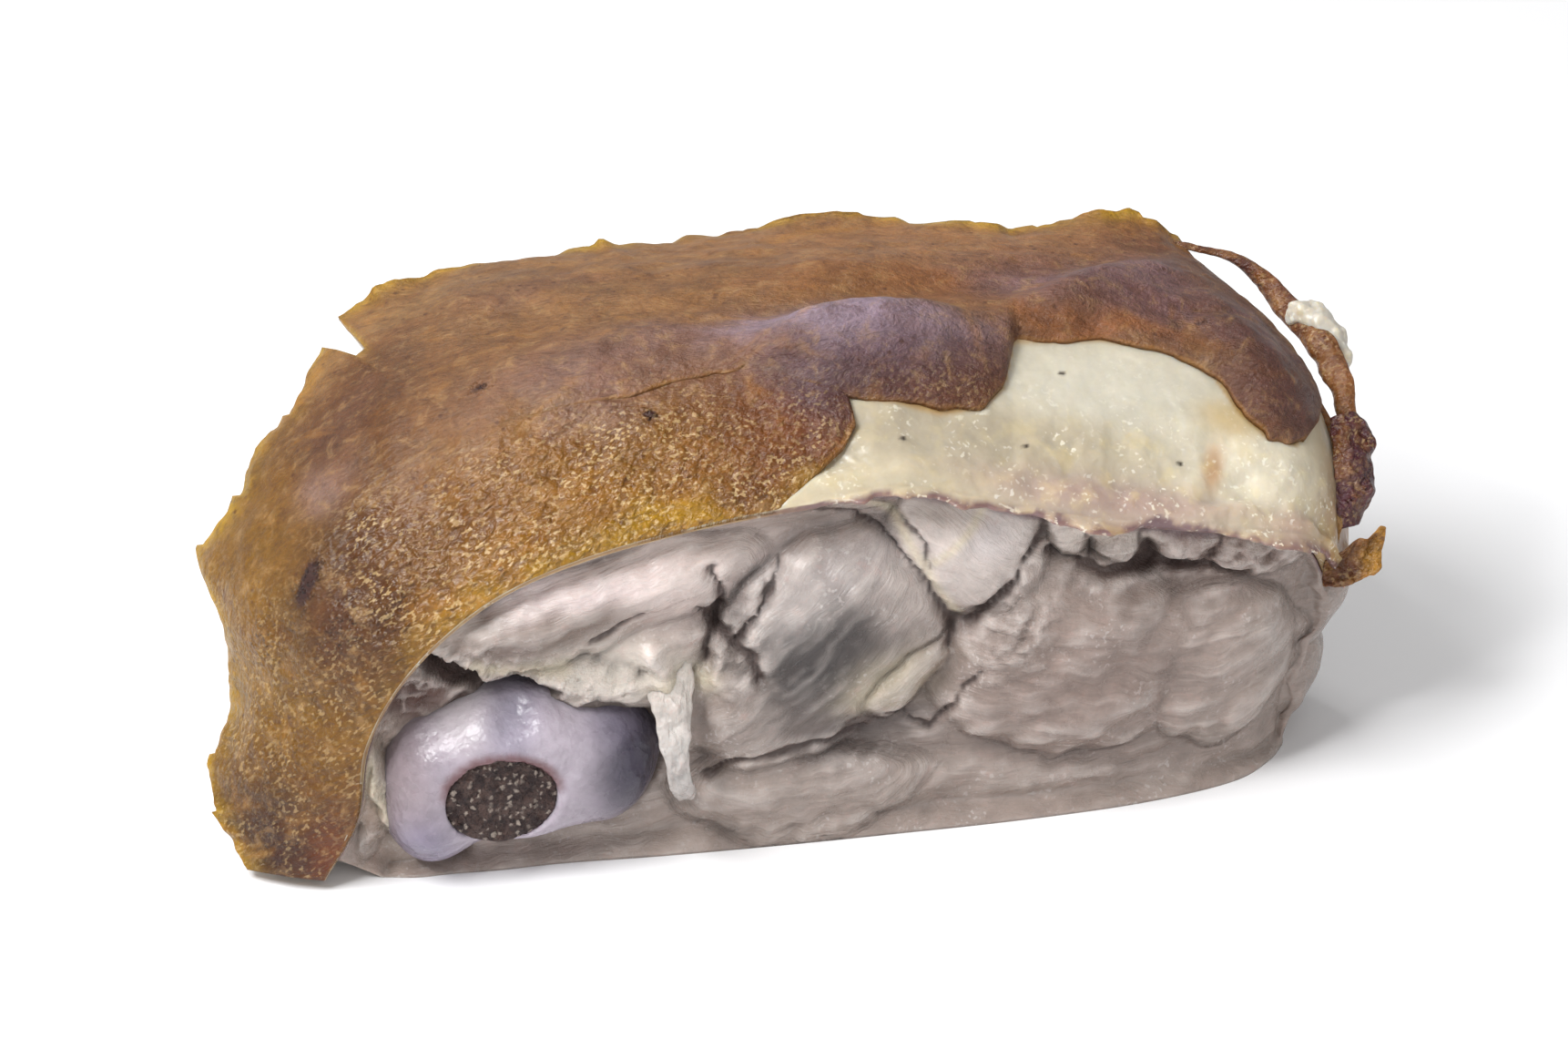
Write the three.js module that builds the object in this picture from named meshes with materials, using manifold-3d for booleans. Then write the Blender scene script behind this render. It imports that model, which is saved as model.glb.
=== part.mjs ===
// A chopped haunch portion of roast suckling pig: a domed slab, cut across at the front and
// at the back. Crackling lies over a layer of fat, torn open at the right of the front edge,
// and wraps down the left side to the underside. Under it are the muscles of the haunch, and
// the sawn knuckle with its marrow shows at the lower left of the front cut.
//
// Millimetres, +X to the right along the slab, +Y from the front cut to the back cut, +Z up.
// The origin is at the bottom centre of the portion's box, on the flat underside.

import * as THREE from "three";
import { mergeVertices } from "three/addons/utils/BufferGeometryUtils.js";
import Module from "manifold-3d";

const wasm = await Module();
wasm.setup();

// ---------------------------------------------------------------- driving dimensions

// The roof of crackling hangs on ribs that run from the front cut over the top to the back
// cut. The first rib is the tail of skin low at the left, the last is the low right end.
// crown is how far the roof rises above a rib's straight chord, fat the thickness under the
// skin. footFront and footBack are where the meat under the rib meets the flat underside.
const RIBS = [
  // front, back, crown, fat, footFront, footBack
  [[-69, -50, 2], [-81, -47, 2], 1, 1.2, [-61, -46], [-67, -41]],
  [[-64, -50.5, 13], [-87, -37, 10], 3, 1.4, [-59, -46], [-67, -31]],
  [[-62, -50, 26], [-86, -26, 22], 5, 1.6, [-55, -46], [-65, -20]],
  [[-55, -49, 38.5], [-90, -13, 37], 8, 1.8, [-50, -45], [-61, -8]],
  [[-44, -47, 48.5], [-82, 1, 49], 11, 2, [-43, -44], [-55, 6]],
  [[-31, -44, 54], [-71, 14, 60], 12, 2.3, [-33, -42], [-46, 18]],
  [[-14, -40, 57.5], [-52, 26, 66], 12, 2.8, [-18, -40], [-32, 27]],
  [[2, -36, 59], [-25, 33, 67], 12, 3.6, [0, -37], [-14, 32]],
  [[18, -32, 60], [5, 36, 68.5], 12, 4.6, [16, -34], [8, 34]],
  [[38, -28.5, 54], [33, 38, 67.5], 12, 5, [36, -30], [33, 35]],
  [[58, -25, 49.5], [55, 37, 67], 12, 5, [55, -25], [54, 33]],
  [[74, -21.5, 46], [71, 31, 59], 11, 4.5, [69, -19], [67, 26]],
  [[82, -17, 41], [82, 20, 46], 6, 3.5, [75, -13], [75, 16]],
  [[86, -11, 31], [86, 8, 32], 3, 2.5, [78, -7], [78, 6]],
];
const COLUMNS = RIBS[0].map((_, column) => RIBS.map((rib) => rib[column]));
const [FRONTS, BACKS, CROWNS, FATS, FOOT_FRONTS, FOOT_BACKS] = COLUMNS;
const LAST_RIB = RIBS.length - 1;
const CROWN_SKEW = 0.8; // below 1 the crown is nearer the front cut

const SKIN = 2; // crackling above the fat
const GAP = 0.3; // clearance between neighbouring solids
const FRONT_LIP = { share: 0.03, left: 0.2 }; // the shell thins to a fifth at its front edge
const BACK_LIP = { share: 0.1, left: 0.45 }; // and to under half at its back edge
const ROLL_OVER = 0.08; // share of the roof over which folds and tears fade at the front edge

// Where the crackling starts above the front cut: [rib, share of the way over the roof].
// Left of rib 6.9 it reaches the cut, and past rib 11.3 its right edge runs up and over.
const TEAR_LINE = [
  [0, -0.1], [6.8, -0.06], [6.9, 0], [7.2, 0.04], [7.5, 0.08], [7.62, 0.14], [7.85, 0.17],
  [8.3, 0.15], [8.6, 0.18], [8.76, 0.24], [8.86, 0.37], [9.5, 0.41], [10, 0.4], [10.3, 0.35],
  [10.5, 0.26], [10.75, 0.21], [11.05, 0.22], [11.3, 0.36], [11.55, 0.62], [11.75, 1.1],
];
const TEAR_STEP = 0.03; // share of the roof over which the skin drops to the fat
const TEAR_ROWS = { from: 0.3, to: 0.35 }; // the grid rows that follow the lap and the tear
const TEAR_END = { rib: 11.5, fade: 0.4 }; // where the rows stop following the tear

// The chopped back edge: [rib, share that the crackling reaches], and its small teeth.
const CHOP_LINE = [
  [0, 1], [1.35, 0.98], [2.6, 0.75], [3.07, 0.98], [3.45, 0.86], [3.95, 0.92], [4.4, 0.87],
  [4.93, 0.96], [4.98, 0.81], [5.08, 0.82], [5.2, 1.03], [7, 0.98], [7.9, 1.03], [9, 0.96],
  [10, 1.04], [10.5, 1.02], [10.9, 0.92], [13, 1],
];
const TEETH = { height: 0.035, pitches: [0.23, 0.41] };

// Folds, blisters and hollows of the crackling: rib and share at the middle, half length in
// ribs, half widths towards the front and the back, slope of the fold, height.
const FOLDS = [
  { rib: 7.9, share: 0.31, length: 1.15, front: 0.1, back: 0.15, slope: 0.03, height: 3.4 },
  { rib: 6.2, share: 0.36, length: 1, front: 0.1, back: 0.16, slope: 0.02, height: 1.2 },
  { rib: 9.5, share: 0.56, length: 0.9, front: 0.12, back: 0.12, slope: 0.16, height: 2.2 },
  { rib: 10.75, share: 0.42, length: 0.4, front: 0.16, back: 0.2, slope: 0, height: 1.4 },
  { rib: 8.8, share: 0.62, length: 1, front: 0.12, back: 0.1, slope: 0.14, height: -1.6 },
  { rib: 3.2, share: 0.35, length: 0.7, front: 0.25, back: 0.3, slope: 0, height: 1 },
  { rib: 4.3, share: 0.2, length: 0.4, front: 0.16, back: 0.16, slope: 0, height: -1.4 },
  { rib: 5.6, share: 0.62, length: 1.2, front: 0.14, back: 0.14, slope: 0.05, height: -1.2 },
  { rib: 2.1, share: 0.4, length: 0.8, front: 0.3, back: 0.3, slope: 0, height: -1.2 },
];
const FOLD_FALL = 1.6; // how steeply a fold falls off from its middle
// The upper sheet of crackling laps over a tongue of skin below it, along this edge.
const LAP_LINE = [[5.2, 0.3], [6.07, 0.26], [7.03, 0.28], [7.38, 0.22], [7.85, 0.17], [8.3, 0.15]];
const LAP = { from: 5.2, full: 7, gone: 8.3, end: 0.5, height: 1.8, fade: 0.25 };
const ROW_LINE = [...LAP_LINE, ...TEAR_LINE.filter(([rib]) => rib > LAP.gone)];

// Muscles that swell out of the cuts: middle, half sizes, tilt in degrees, swell.
const FRONT_MUSCLES = [
  { x: -29, z: 43, rx: 29, rz: 9.5, tilt: 16, swell: 6 },
  { x: -28, z: 31, rx: 17, rz: 4.5, tilt: 2, swell: 4 },
  { x: -19, z: 36, rx: 11, rz: 8, tilt: 0, swell: 5 },
  { x: 4.5, z: 31.5, rx: 25, rz: 17, tilt: 42, swell: 8 },
  { x: 27, z: 46, rx: 14, rz: 12, tilt: -35, swell: 7 },
  { x: 18, z: 26, rx: 10, rz: 5.5, tilt: 40, swell: 6.5 },
  { x: 43, z: 48, rx: 4, rz: 5.5, tilt: 0, swell: 4.5 },
  { x: 49, z: 46.5, rx: 5, rz: 6.5, tilt: 15, swell: 6 },
  { x: 60, z: 46, rx: 8, rz: 5, tilt: -12, swell: 4.5 },
  { x: 71, z: 41, rx: 8, rz: 4.5, tilt: -15, swell: 4 },
  { x: 44, z: 26, rx: 22, rz: 17, tilt: -10, swell: 7 },
  { x: 66, z: 22, rx: 13, rz: 16, tilt: 10, swell: 5 },
  { x: 2, z: 8, rx: 22, rz: 8, tilt: 0, swell: 4 },
  { x: -63, z: 17, rx: 4, rz: 15, tilt: 4, swell: 3 },
];
const BACK_MUSCLES = [
  { x: -42, z: 30, rx: 18, rz: 24, tilt: 10, swell: 5 },
  { x: -8, z: 45, rx: 20, rz: 14, tilt: -8, swell: 5.5 },
  { x: 2, z: 16, rx: 26, rz: 16, tilt: 0, swell: 5 },
  { x: 36, z: 34, rx: 22, rz: 22, tilt: 15, swell: 6 },
  { x: 62, z: 24, rx: 14, rz: 20, tilt: 0, swell: 5 },
];
const END_MUSCLES = [
  { x: -2, z: 26, rx: 10, rz: 10, tilt: 20, swell: 4 },
  { x: 4, z: 10, rx: 14, rz: 9, tilt: 0, swell: 5 },
];
const MEMBRANE_DEPTH = 3; // how far the seams between the front muscles lie behind the cut
const GAPES = [ // hollows that open between the front muscles
  { x: -50, z: 35, rx: 8, rz: 2.6, tilt: -38, swell: 5 },
  { x: -40, z: 30.5, rx: 7, rz: 1.8, tilt: -4, swell: 4 },
];
const DOME_POWER = 0.7; // 0.5 makes a muscle a full ellipsoid, 1 a soft mound

// The knuckle: two condyles and the neck between them, sawn across at the front.
const KNUCKLE = [
  { at: [-53, -39, 14], half: [8.5, 13, 13] },
  { at: [-27.8, -35, 17], half: [9, 12, 11] },
  { at: [-41.5, -38, 17.5], half: [16, 14.5, 13] },
];
const SAW = { normal: [-0.22, 0.975, 0], offset: -39.5 };
const SHAFT = { from: [-41, -38, 17], to: [-24, 27, 27], radius: 8 };
const MARROW = { at: [-42.5, -48, 15.5], half: [8.8, 6, 7.2] };
const MARROW_SUNK = 0.7; // how far the marrow lies behind the sawn face

// A strand of tendon hangs beside the knuckle, and loose strips of crackling curl at the
// right end. Each follows its points and goes from the first width to the second.
const TENDON = {
  points: [[-15.6, -40, 29], [-15.3, -46.5, 20], [-14.2, -47.5, 11.5], [-13, -45.5, 6]],
  width: [3.8, 2.2],
};
const LOOP = {
  points: [
    [57, 33, 66], [64, 33.5, 64.6], [70.5, 32, 62.6], [75.8, 27, 58], [80, 20, 55],
    [83, 12, 52.5], [84.5, 3, 48],
  ],
  across: [0.8, -0.1, 0.5],
  width: [3, 9],
  thick: 1.6,
};
const FLAKE = {
  points: [[85, 2, 52.5], [87.6, -2, 51.5], [88.6, -6.5, 46.5], [86.8, -11, 39.5]],
  across: [0.8, -0.6, 0],
  width: [4, 5],
  thick: 1.8,
};
const SPUR = {
  points: [[80, -14, 37], [85, -12.5, 36], [89, -11.5, 36.6], [91.5, -10.5, 39.5]],
  across: [0.1, -0.5, 0.85],
  width: [6, 4],
  thick: 1.6,
};
const FAT_BEAD = { at: [81.5, 20, 56.5], half: [3, 3.4, 3] };

const ROOF_STEPS = { u: 60, v: 20, w: 1 };
const MEAT_STEPS = { u: 44, v: 8, w: 14 };
const RIBBON_STEPS = { u: 12, v: 2, w: 1 };
const RIBBON_TIP = 0.6; // a ribbon's ends, as a share of its width
const STRAND_STEPS = { u: 8, v: 2, w: 2 };
const SPHERE_STEPS = 18;

// ---------------------------------------------------------------- small maths

const STEP = 1e-3; // how far apart a curve is read for its direction
const WELD = 1e-3; // points closer than this are one

const mix = (a, b, t) => a + (b - a) * t;
const clamp = (x, low = 0, high = 1) => Math.min(high, Math.max(low, x));
const smooth = (x) => clamp(x) ** 2 * (3 - 2 * clamp(x));
const add = (a, b, k = 1) => a.map((x, i) => x + b[i] * k);

// A smooth curve through evenly spaced values, each a number or a list of numbers.
function spline(values, t) {
  const rows = values.map((x) => (Array.isArray(x) ? x : [x]));
  const n = rows.length;
  const place = clamp(t) * (n - 1);
  const i = Math.min(Math.floor(place), n - 2);
  const w = place - i;
  const before = rows[i - 1] ?? add(rows[0], add(rows[0], rows[1], -1));
  const after = rows[i + 2] ?? add(rows[n - 1], add(rows[n - 1], rows[n - 2], -1));
  return rows[i].map((b, k) => {
    const [a, c, d] = [before[k], rows[i + 1][k], after[k]];
    const [m0, m1] = [(c - a) / 2, (d - b) / 2];
    return b + m0 * w + (3 * (c - b) - 2 * m0 - m1) * w ** 2 + (2 * (b - c) + m0 + m1) * w ** 3;
  });
}

// Straight lines through [x, y] pairs.
function polyline(pairs, x) {
  const next = pairs.findIndex(([px]) => px > x);
  if (next <= 0) return pairs[next === 0 ? 0 : pairs.length - 1][1];
  const [[x0, y0], [x1, y1]] = [pairs[next - 1], pairs[next]];
  return mix(y0, y1, (x - x0) / (x1 - x0));
}

// ---------------------------------------------------------------- the crackling roof

// The even face of the crackling and its normal, for shares u along and v over the roof.
function roof(u, v) {
  const front = spline(FRONTS, u);
  const back = spline(BACKS, u);
  const chord = add(back, front, -1);
  const ahead = add(spline(FRONTS, u + STEP), spline(BACKS, u + STEP));
  const behind = add(spline(FRONTS, u - STEP), spline(BACKS, u - STEP));
  const normal = new THREE.Vector3(...add(ahead, behind, -1)).cross(new THREE.Vector3(...chord)).normalize();
  const crown = spline(CROWNS, u)[0] * Math.sin(Math.PI * clamp(v) ** CROWN_SKEW);
  return { point: add(add(front, chord, v), normal.toArray(), crown), normal: normal.toArray() };
}

// How much a fold lifts the crackling at a rib and share.
function foldHeight(fold, rib, share) {
  const along = (rib - fold.rib) / fold.length;
  const offset = share - fold.share - fold.slope * along;
  const across = offset / (offset < 0 ? fold.front : fold.back);
  return fold.height * Math.exp(-FOLD_FALL * (along ** 2 + across ** 2));
}

// How far the upper sheet stands off where it laps over the tongue.
function lapHeight(rib, share) {
  const past = share - polyline(LAP_LINE, rib);
  const along = smooth((rib - LAP.from) / (LAP.full - LAP.from)) * smooth((LAP.gone - rib) / LAP.end);
  return along * LAP.height * smooth(past / TEAR_STEP) * (1 - smooth(past / LAP.fade));
}

// The outer face above the even face: folds on the crackling, its thickness lost where torn.
function hideLift(rib, share) {
  const cover = smooth((share - polyline(TEAR_LINE, rib)) / TEAR_STEP);
  const folds = FOLDS.reduce((sum, fold) => sum + foldHeight(fold, rib, share), lapHeight(rib, share));
  return smooth(share / ROLL_OVER) * (cover * folds - (1 - cover) * SKIN);
}

// How thick the crackling and its fat are together, thinning to both cut edges.
function thickness(u, share) {
  const front = 1 - (1 - FRONT_LIP.left) * Math.exp(-share / FRONT_LIP.share);
  const back = 1 - (1 - BACK_LIP.left) * smooth((share - 1 + BACK_LIP.share) / BACK_LIP.share);
  return (SKIN + spline(FATS, u)[0]) * front * back;
}

// The share that the chopped edge reaches: two zigzags of unlike pitch make the teeth.
function chopShare(rib) {
  const zigzag = (pitch) => Math.abs(((rib / pitch) % 2) - 1) - 0.5;
  return polyline(CHOP_LINE, rib) + TEETH.height * (zigzag(TEETH.pitches[0]) + zigzag(TEETH.pitches[1]));
}

// The share of a grid row: rows gather along the tear, and the last one ends at the chop.
function rowShare(rib, v) {
  const { from, to } = TEAR_ROWS;
  const follows = 1 - smooth((rib - TEAR_END.rib) / TEAR_END.fade);
  const line = mix(from, polyline(ROW_LINE, rib), follows);
  const share = v < to
    ? line * Math.min(1, v / from) + TEAR_STEP * clamp((v - from) / (to - from))
    : mix(line + TEAR_STEP, 1, (v - to) / (1 - to));
  return share + (chopShare(rib) - 1) * smooth(share * 2 - 1);
}

// The shell of crackling and fat: w is 0 on the outer face and 1 on the inner one.
function shellPoint(u, v, w) {
  const rib = u * LAST_RIB;
  const share = rowShare(rib, v);
  const { point, normal } = roof(u, share);
  const [x, y, z] = add(point, normal, w === 0 ? hideLift(rib, share) : -thickness(u, share));
  return [x, y, Math.max(0, z)];
}

// ---------------------------------------------------------------- the meat

// How far the muscles swell out of a cut at (x, z): the highest of their domes.
function swell(muscles, x, z) {
  return Math.max(0, ...muscles.map((m) => {
    const turn = THREE.MathUtils.degToRad(m.tilt);
    const along = ((x - m.x) * Math.cos(turn) + (z - m.z) * Math.sin(turn)) / m.rx;
    const across = ((z - m.z) * Math.cos(turn) - (x - m.x) * Math.sin(turn)) / m.rz;
    return m.swell * Math.max(0, 1 - along ** 2 - across ** 2) ** DOME_POWER;
  }));
}

// The meat under the roof: v runs from the front cut to the back cut, w from the fat to the
// underside. It keeps inside these shares of the roof.
const MEAT_U = [0.025, 0.985];
const MEAT_V = [0.03, 0.78];
// The shares of its height, length and depth over which the muscles' swell sets in.
const SET_IN = { fat: 0.1, base: 0.06, side: 0.05, cut: 0.3, end: 0.15 };
function meatPoint(u, v, w) {
  const inner = mix(...MEAT_U, u);
  const share = mix(...MEAT_V, v);
  const { point, normal } = roof(inner, share);
  const top = add(point, normal, -thickness(inner, share) - GAP);
  const footFront = spline(FOOT_FRONTS, inner);
  const foot = [...add(footFront, add(spline(FOOT_BACKS, inner), footFront, -1), v), 0];
  let [x, y, z] = add(top, add(foot, top, -1), w);
  const fade = smooth(w / SET_IN.fat) * smooth((1 - w) / SET_IN.base);
  const sides = smooth(u / SET_IN.side) * smooth((1 - u) / SET_IN.side);
  const front = swell(FRONT_MUSCLES, x, z) - MEMBRANE_DEPTH - swell(GAPES, x, z);
  const back = swell(BACK_MUSCLES, x, z);
  y += fade * sides * (smooth(1 - (1 - v) / SET_IN.cut) * back - smooth(1 - v / SET_IN.cut) * front);
  x += fade * smooth(1 - (1 - u) / SET_IN.end) * swell(END_MUSCLES, y, z);
  return [x, y, Math.max(0, z)];
}

// ---------------------------------------------------------------- solids

// A closed mesh in the form of a bent block: place(u, v, w) maps a unit cube to the shape.
function block(steps, place) {
  const positions = [];
  const face = (a, b, side) => {
    for (let i = 0; i < a; i++)
      for (let j = 0; j < b; j++) {
        const corners = [[i, j], [i + 1, j], [i + 1, j + 1], [i, j + 1]];
        const [p, q, r, s] = corners.map(([m, n]) => side(m / a, n / b));
        positions.push(...p, ...q, ...r, ...p, ...r, ...s);
      }
  };
  const { u: nu, v: nv, w: nw } = steps;
  face(nu, nv, (a, b) => place(a, b, 0));
  face(nv, nu, (a, b) => place(b, a, 1));
  face(nv, nw, (a, b) => place(0, a, b));
  face(nw, nv, (a, b) => place(1, b, a));
  face(nw, nu, (a, b) => place(b, 0, a));
  face(nu, nw, (a, b) => place(a, 1, b));
  return new THREE.BufferGeometry().setAttribute("position", new THREE.Float32BufferAttribute(positions, 3));
}

// A three.js geometry as a solid that can be joined and cut, facing out.
function solid(geometry) {
  const bare = geometry.index ? geometry.toNonIndexed() : geometry.clone();
  bare.deleteAttribute("normal");
  bare.deleteAttribute("uv");
  const merged = mergeVertices(bare, WELD);
  const vertProperties = merged.attributes.position.array;
  const build = (triVerts) => new wasm.Manifold(new wasm.Mesh({ numProp: 3, vertProperties, triVerts }));
  const triVerts = new Uint32Array(merged.index.array);
  const made = build(triVerts);
  return made.volume() > 0 ? made : build(triVerts.reverse());
}

function ellipsoid({ at, half }, grow = 0) {
  const sphere = new THREE.SphereGeometry(1, SPHERE_STEPS, SPHERE_STEPS / 2);
  return solid(sphere.scale(half[0] + grow, half[1] + grow, half[2] + grow).translate(...at));
}

// A flat ribbon along a smooth line, rounded off at its ends.
function ribbon({ points, across, width, thick }) {
  const side = new THREE.Vector3(...across).normalize();
  const place = (u, v, w) => {
    const ahead = new THREE.Vector3(...spline(points, u + STEP));
    const along = ahead.sub(new THREE.Vector3(...spline(points, u - STEP)));
    const up = along.cross(side).normalize();
    const taper = mix(RIBBON_TIP, 1, Math.sqrt(Math.sin(Math.PI * u)));
    const middle = add(spline(points, u), side.toArray(), (v - 0.5) * mix(...width, u) * taper);
    return add(middle, up.toArray(), (w - 0.5) * thick);
  };
  return solid(block(RIBBON_STEPS, place));
}

// A square strand that runs down its points.
function strand({ points, width }) {
  const place = (u, v, w) => {
    const size = mix(...width, u);
    return add(spline(points, u), [(v - 0.5) * size, (w - 0.5) * size, 0]);
  };
  return solid(block(STRAND_STEPS, place));
}

function rod({ from, to, radius }, grow) {
  const [a, b] = [new THREE.Vector3(...from), new THREE.Vector3(...to)];
  const cylinder = new THREE.CylinderGeometry(radius + grow, radius + grow, a.distanceTo(b), SPHERE_STEPS);
  const upright = new THREE.Vector3(0, 1, 0);
  const turn = new THREE.Quaternion().setFromUnitVectors(upright, b.clone().sub(a).normalize());
  return solid(cylinder.applyQuaternion(turn).translate(...a.add(b).multiplyScalar(0.5).toArray()));
}

// The sawn knuckle with its shaft, grown all over by the gap when it cuts the meat.
function knuckle(grow = 0) {
  const lobes = KNUCKLE.map((lobe) => ellipsoid(lobe, grow));
  return wasm.Manifold.union([...lobes, rod(SHAFT, grow)])
    .trimByPlane(SAW.normal, SAW.offset - grow)
    .trimByPlane([0, 0, 1], GAP - grow);
}

// The largest of a solid's bodies, so that a sliver left by a cut is dropped.
const largest = (made) => made.decompose().sort((a, b) => b.volume() - a.volume())[0];

const shell = solid(block(ROOF_STEPS, shellPoint));
const curls = [LOOP, FLAKE, SPUR].map(ribbon);
const crackling = largest(wasm.Manifold.union([shell, ...curls, ellipsoid(FAT_BEAD)]));
const haunch = solid(block(MEAT_STEPS, meatPoint)).add(strand(TENDON));
const meat = largest(haunch.subtract(knuckle(GAP)).subtract(crackling));
const bone = knuckle().subtract(ellipsoid(MARROW, GAP));
const marrow = ellipsoid(MARROW).trimByPlane(SAW.normal, SAW.offset + MARROW_SUNK);

// ---------------------------------------------------------------- the portion

// The sizes above are measured from a point under the portion; this moves the box's middle there.
const whole = wasm.Manifold.union([crackling, meat, bone]).boundingBox();
const toCentre = [0, 1].map((axis) => -(whole.min[axis] + whole.max[axis]) / 2);
const portion = new THREE.Group();

function place(name, made, color, roughness) {
  const { vertProperties, triVerts } = made.getMesh();
  const geometry = new THREE.BufferGeometry();
  geometry.setAttribute("position", new THREE.BufferAttribute(vertProperties, 3));
  geometry.setIndex(new THREE.BufferAttribute(triVerts, 1));
  const mesh = new THREE.Mesh(geometry, new THREE.MeshStandardMaterial({ color, roughness, metalness: 0 }));
  mesh.name = name;
  mesh.position.set(...toCentre, 0);
  portion.add(mesh);
}

place("crackling_and_fat", crackling, "#8a5226", 0.35);
place("haunch_meat", meat, "#b3a298", 0.5);
place("knuckle_bone", bone, "#bdb3c2", 0.3);
place("bone_marrow", marrow, "#5a443d", 0.8);

export default portion;
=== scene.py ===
"""Looks of a chopped haunch portion of roast suckling pig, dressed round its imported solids.

Sizes are in millimetres from a point under the portion, as in the solids, until a mesh is made.
A place on the roof of crackling is a rib, counted from the left, and a share of the way from
the front cut over the top to the back cut.
"""

import logging
import math
from dataclasses import dataclass, field
from enum import Enum
from itertools import product
from typing import Callable, ClassVar, Optional, Sequence, Union

import bpy
import numpy as np
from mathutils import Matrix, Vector


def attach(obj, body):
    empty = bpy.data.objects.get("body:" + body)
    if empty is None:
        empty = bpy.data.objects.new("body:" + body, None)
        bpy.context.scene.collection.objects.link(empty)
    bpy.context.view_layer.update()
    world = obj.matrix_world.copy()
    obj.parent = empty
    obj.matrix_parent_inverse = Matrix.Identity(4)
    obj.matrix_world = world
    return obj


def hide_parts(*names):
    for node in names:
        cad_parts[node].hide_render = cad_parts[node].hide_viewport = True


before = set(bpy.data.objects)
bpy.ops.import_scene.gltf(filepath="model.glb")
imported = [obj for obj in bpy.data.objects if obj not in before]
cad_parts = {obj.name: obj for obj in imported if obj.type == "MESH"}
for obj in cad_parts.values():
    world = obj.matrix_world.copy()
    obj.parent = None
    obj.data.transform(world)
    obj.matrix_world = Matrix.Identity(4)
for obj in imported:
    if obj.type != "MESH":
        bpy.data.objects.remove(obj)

LOG = logging.getLogger("roast_suckling_pig")
Array = np.ndarray
Value = Union[Array, float]
Pairs = Sequence[Sequence[float]]
Rgb = tuple[float, float, float]

BODY = "root"
MM = 0.001
GAIN = 1.15  # how much the studio light brightens a ground colour
SHEEN = 0.02  # the white that its reflections add
TO_CENTRE = np.array([-1.74644, 5.69752, 0.0])  # from the point under the portion to its box's middle


# ---- small maths


def mix(a: Value, b: Value, t: Value) -> Value:
    """The value a share t of the way from a to b."""
    return a + (b - a) * t


def smooth(x: Value) -> Value:
    """A soft step from 0 to 1 as x goes from 0 to 1."""
    x = np.clip(x, 0, 1)
    return x * x * (3 - 2 * x)


def bell(x: Value) -> Value:
    """A soft hump, 1 where x is 0."""
    return np.exp(-x * x)


def polyline(pairs: Pairs, x: Array) -> Array:
    """The height at x of straight lines through [x, height] pairs."""
    places, heights = zip(*pairs)
    return np.interp(x, places, heights)


def spline(rows: Sequence, t: Array) -> Array:
    """A smooth curve through evenly spaced rows.

    Args:
        rows: The values passed through, each a number or a list of numbers.
        t: Shares along the curve.

    Returns:
        The curve's values, with one more axis than t.
    """
    table = np.asarray(rows, float).reshape(len(rows), -1)
    first, last = 2 * table[0] - table[1], 2 * table[-1] - table[-2]
    padded = np.vstack([first, table, last])
    place = np.clip(t, 0, 1) * (len(table) - 1)
    cell = np.minimum(place.astype(int), len(table) - 2)
    w = (place - cell)[..., None]
    a, b, c, d = (padded[cell + k] for k in range(4))
    m0, m1 = (c - a) / 2, (d - b) / 2
    return b + m0 * w + (3 * (c - b) - 2 * m0 - m1) * w**2 + (2 * (b - c) + m0 + m1) * w**3


def unit(vectors: Array) -> Array:
    """The vectors at length 1."""
    return vectors / np.maximum(np.linalg.norm(vectors, axis=-1, keepdims=True), 1e-9)


def to_line(points: Pairs, places: Array) -> Array:
    """The distance of flat places from a broken line.

    Args:
        points: The line's corners.
        places: The places, with two numbers on the last axis.

    Returns:
        The distance of each place.
    """
    corners = np.asarray(points, float)
    nearest = np.full(places.shape[:-1], np.inf)
    for a, b in zip(corners[:-1], corners[1:]):
        along = np.clip(((places - a) @ (b - a)) / ((b - a) @ (b - a)), 0, 1)
        gap = np.linalg.norm(places - a - along[..., None] * (b - a), axis=-1)
        nearest = np.minimum(nearest, gap)
    return nearest


def blurred(raster: Array, width: float) -> Array:
    """Blurs a raster.

    Args:
        raster: The values, which wrap round at its edges.
        width: The spread of the blur in cells.

    Returns:
        The blurred raster.
    """
    rows, columns = (np.fft.fftfreq(n) for n in raster.shape)
    keep = np.exp(-2 * (np.pi * width) ** 2 * (rows[:, None] ** 2 + columns**2))
    return np.fft.ifft2(np.fft.fft2(raster) * keep).real


class Lumps:
    """Seeded smooth noise, the same on every run."""

    CELLS = 48
    SHIFT = 17.3  # how far apart the octaves are read

    def __init__(self, seed: int) -> None:
        """Fills the lattice of random heights for this seed."""
        self.heights = np.random.default_rng(seed).uniform(-1, 1, (self.CELLS,) * 3)

    def at(self, points: Array, size: Union[float, Sequence[float]], octaves: int = 3) -> Array:
        """Reads the noise.

        Args:
            points: Points in millimetres.
            size: The size of its lumps in millimetres, one for all or one for each axis.
            octaves: How many halved sizes are added.

        Returns:
            A value for each point, mostly from -1 to 1.
        """
        total = np.zeros(points.shape[:-1])
        for octave in range(octaves):
            place = points / np.asarray(size, float) * 2**octave + self.SHIFT * (octave + 1)
            cell = np.floor(place).astype(int)
            part = place - cell
            part = part**3 * (part * (part * 6 - 15) + 10)
            for corner in product((0, 1), repeat=3):
                weight = np.prod(np.where(corner, part, 1 - part), axis=-1)
                i, j, k = np.moveaxis((cell + corner) % self.CELLS, -1, 0)
                total += weight * self.heights[i, j, k] / 2**octave
        return total


Layers = Sequence[Sequence[float]]  # the seed, size, octaves and height of each


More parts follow.
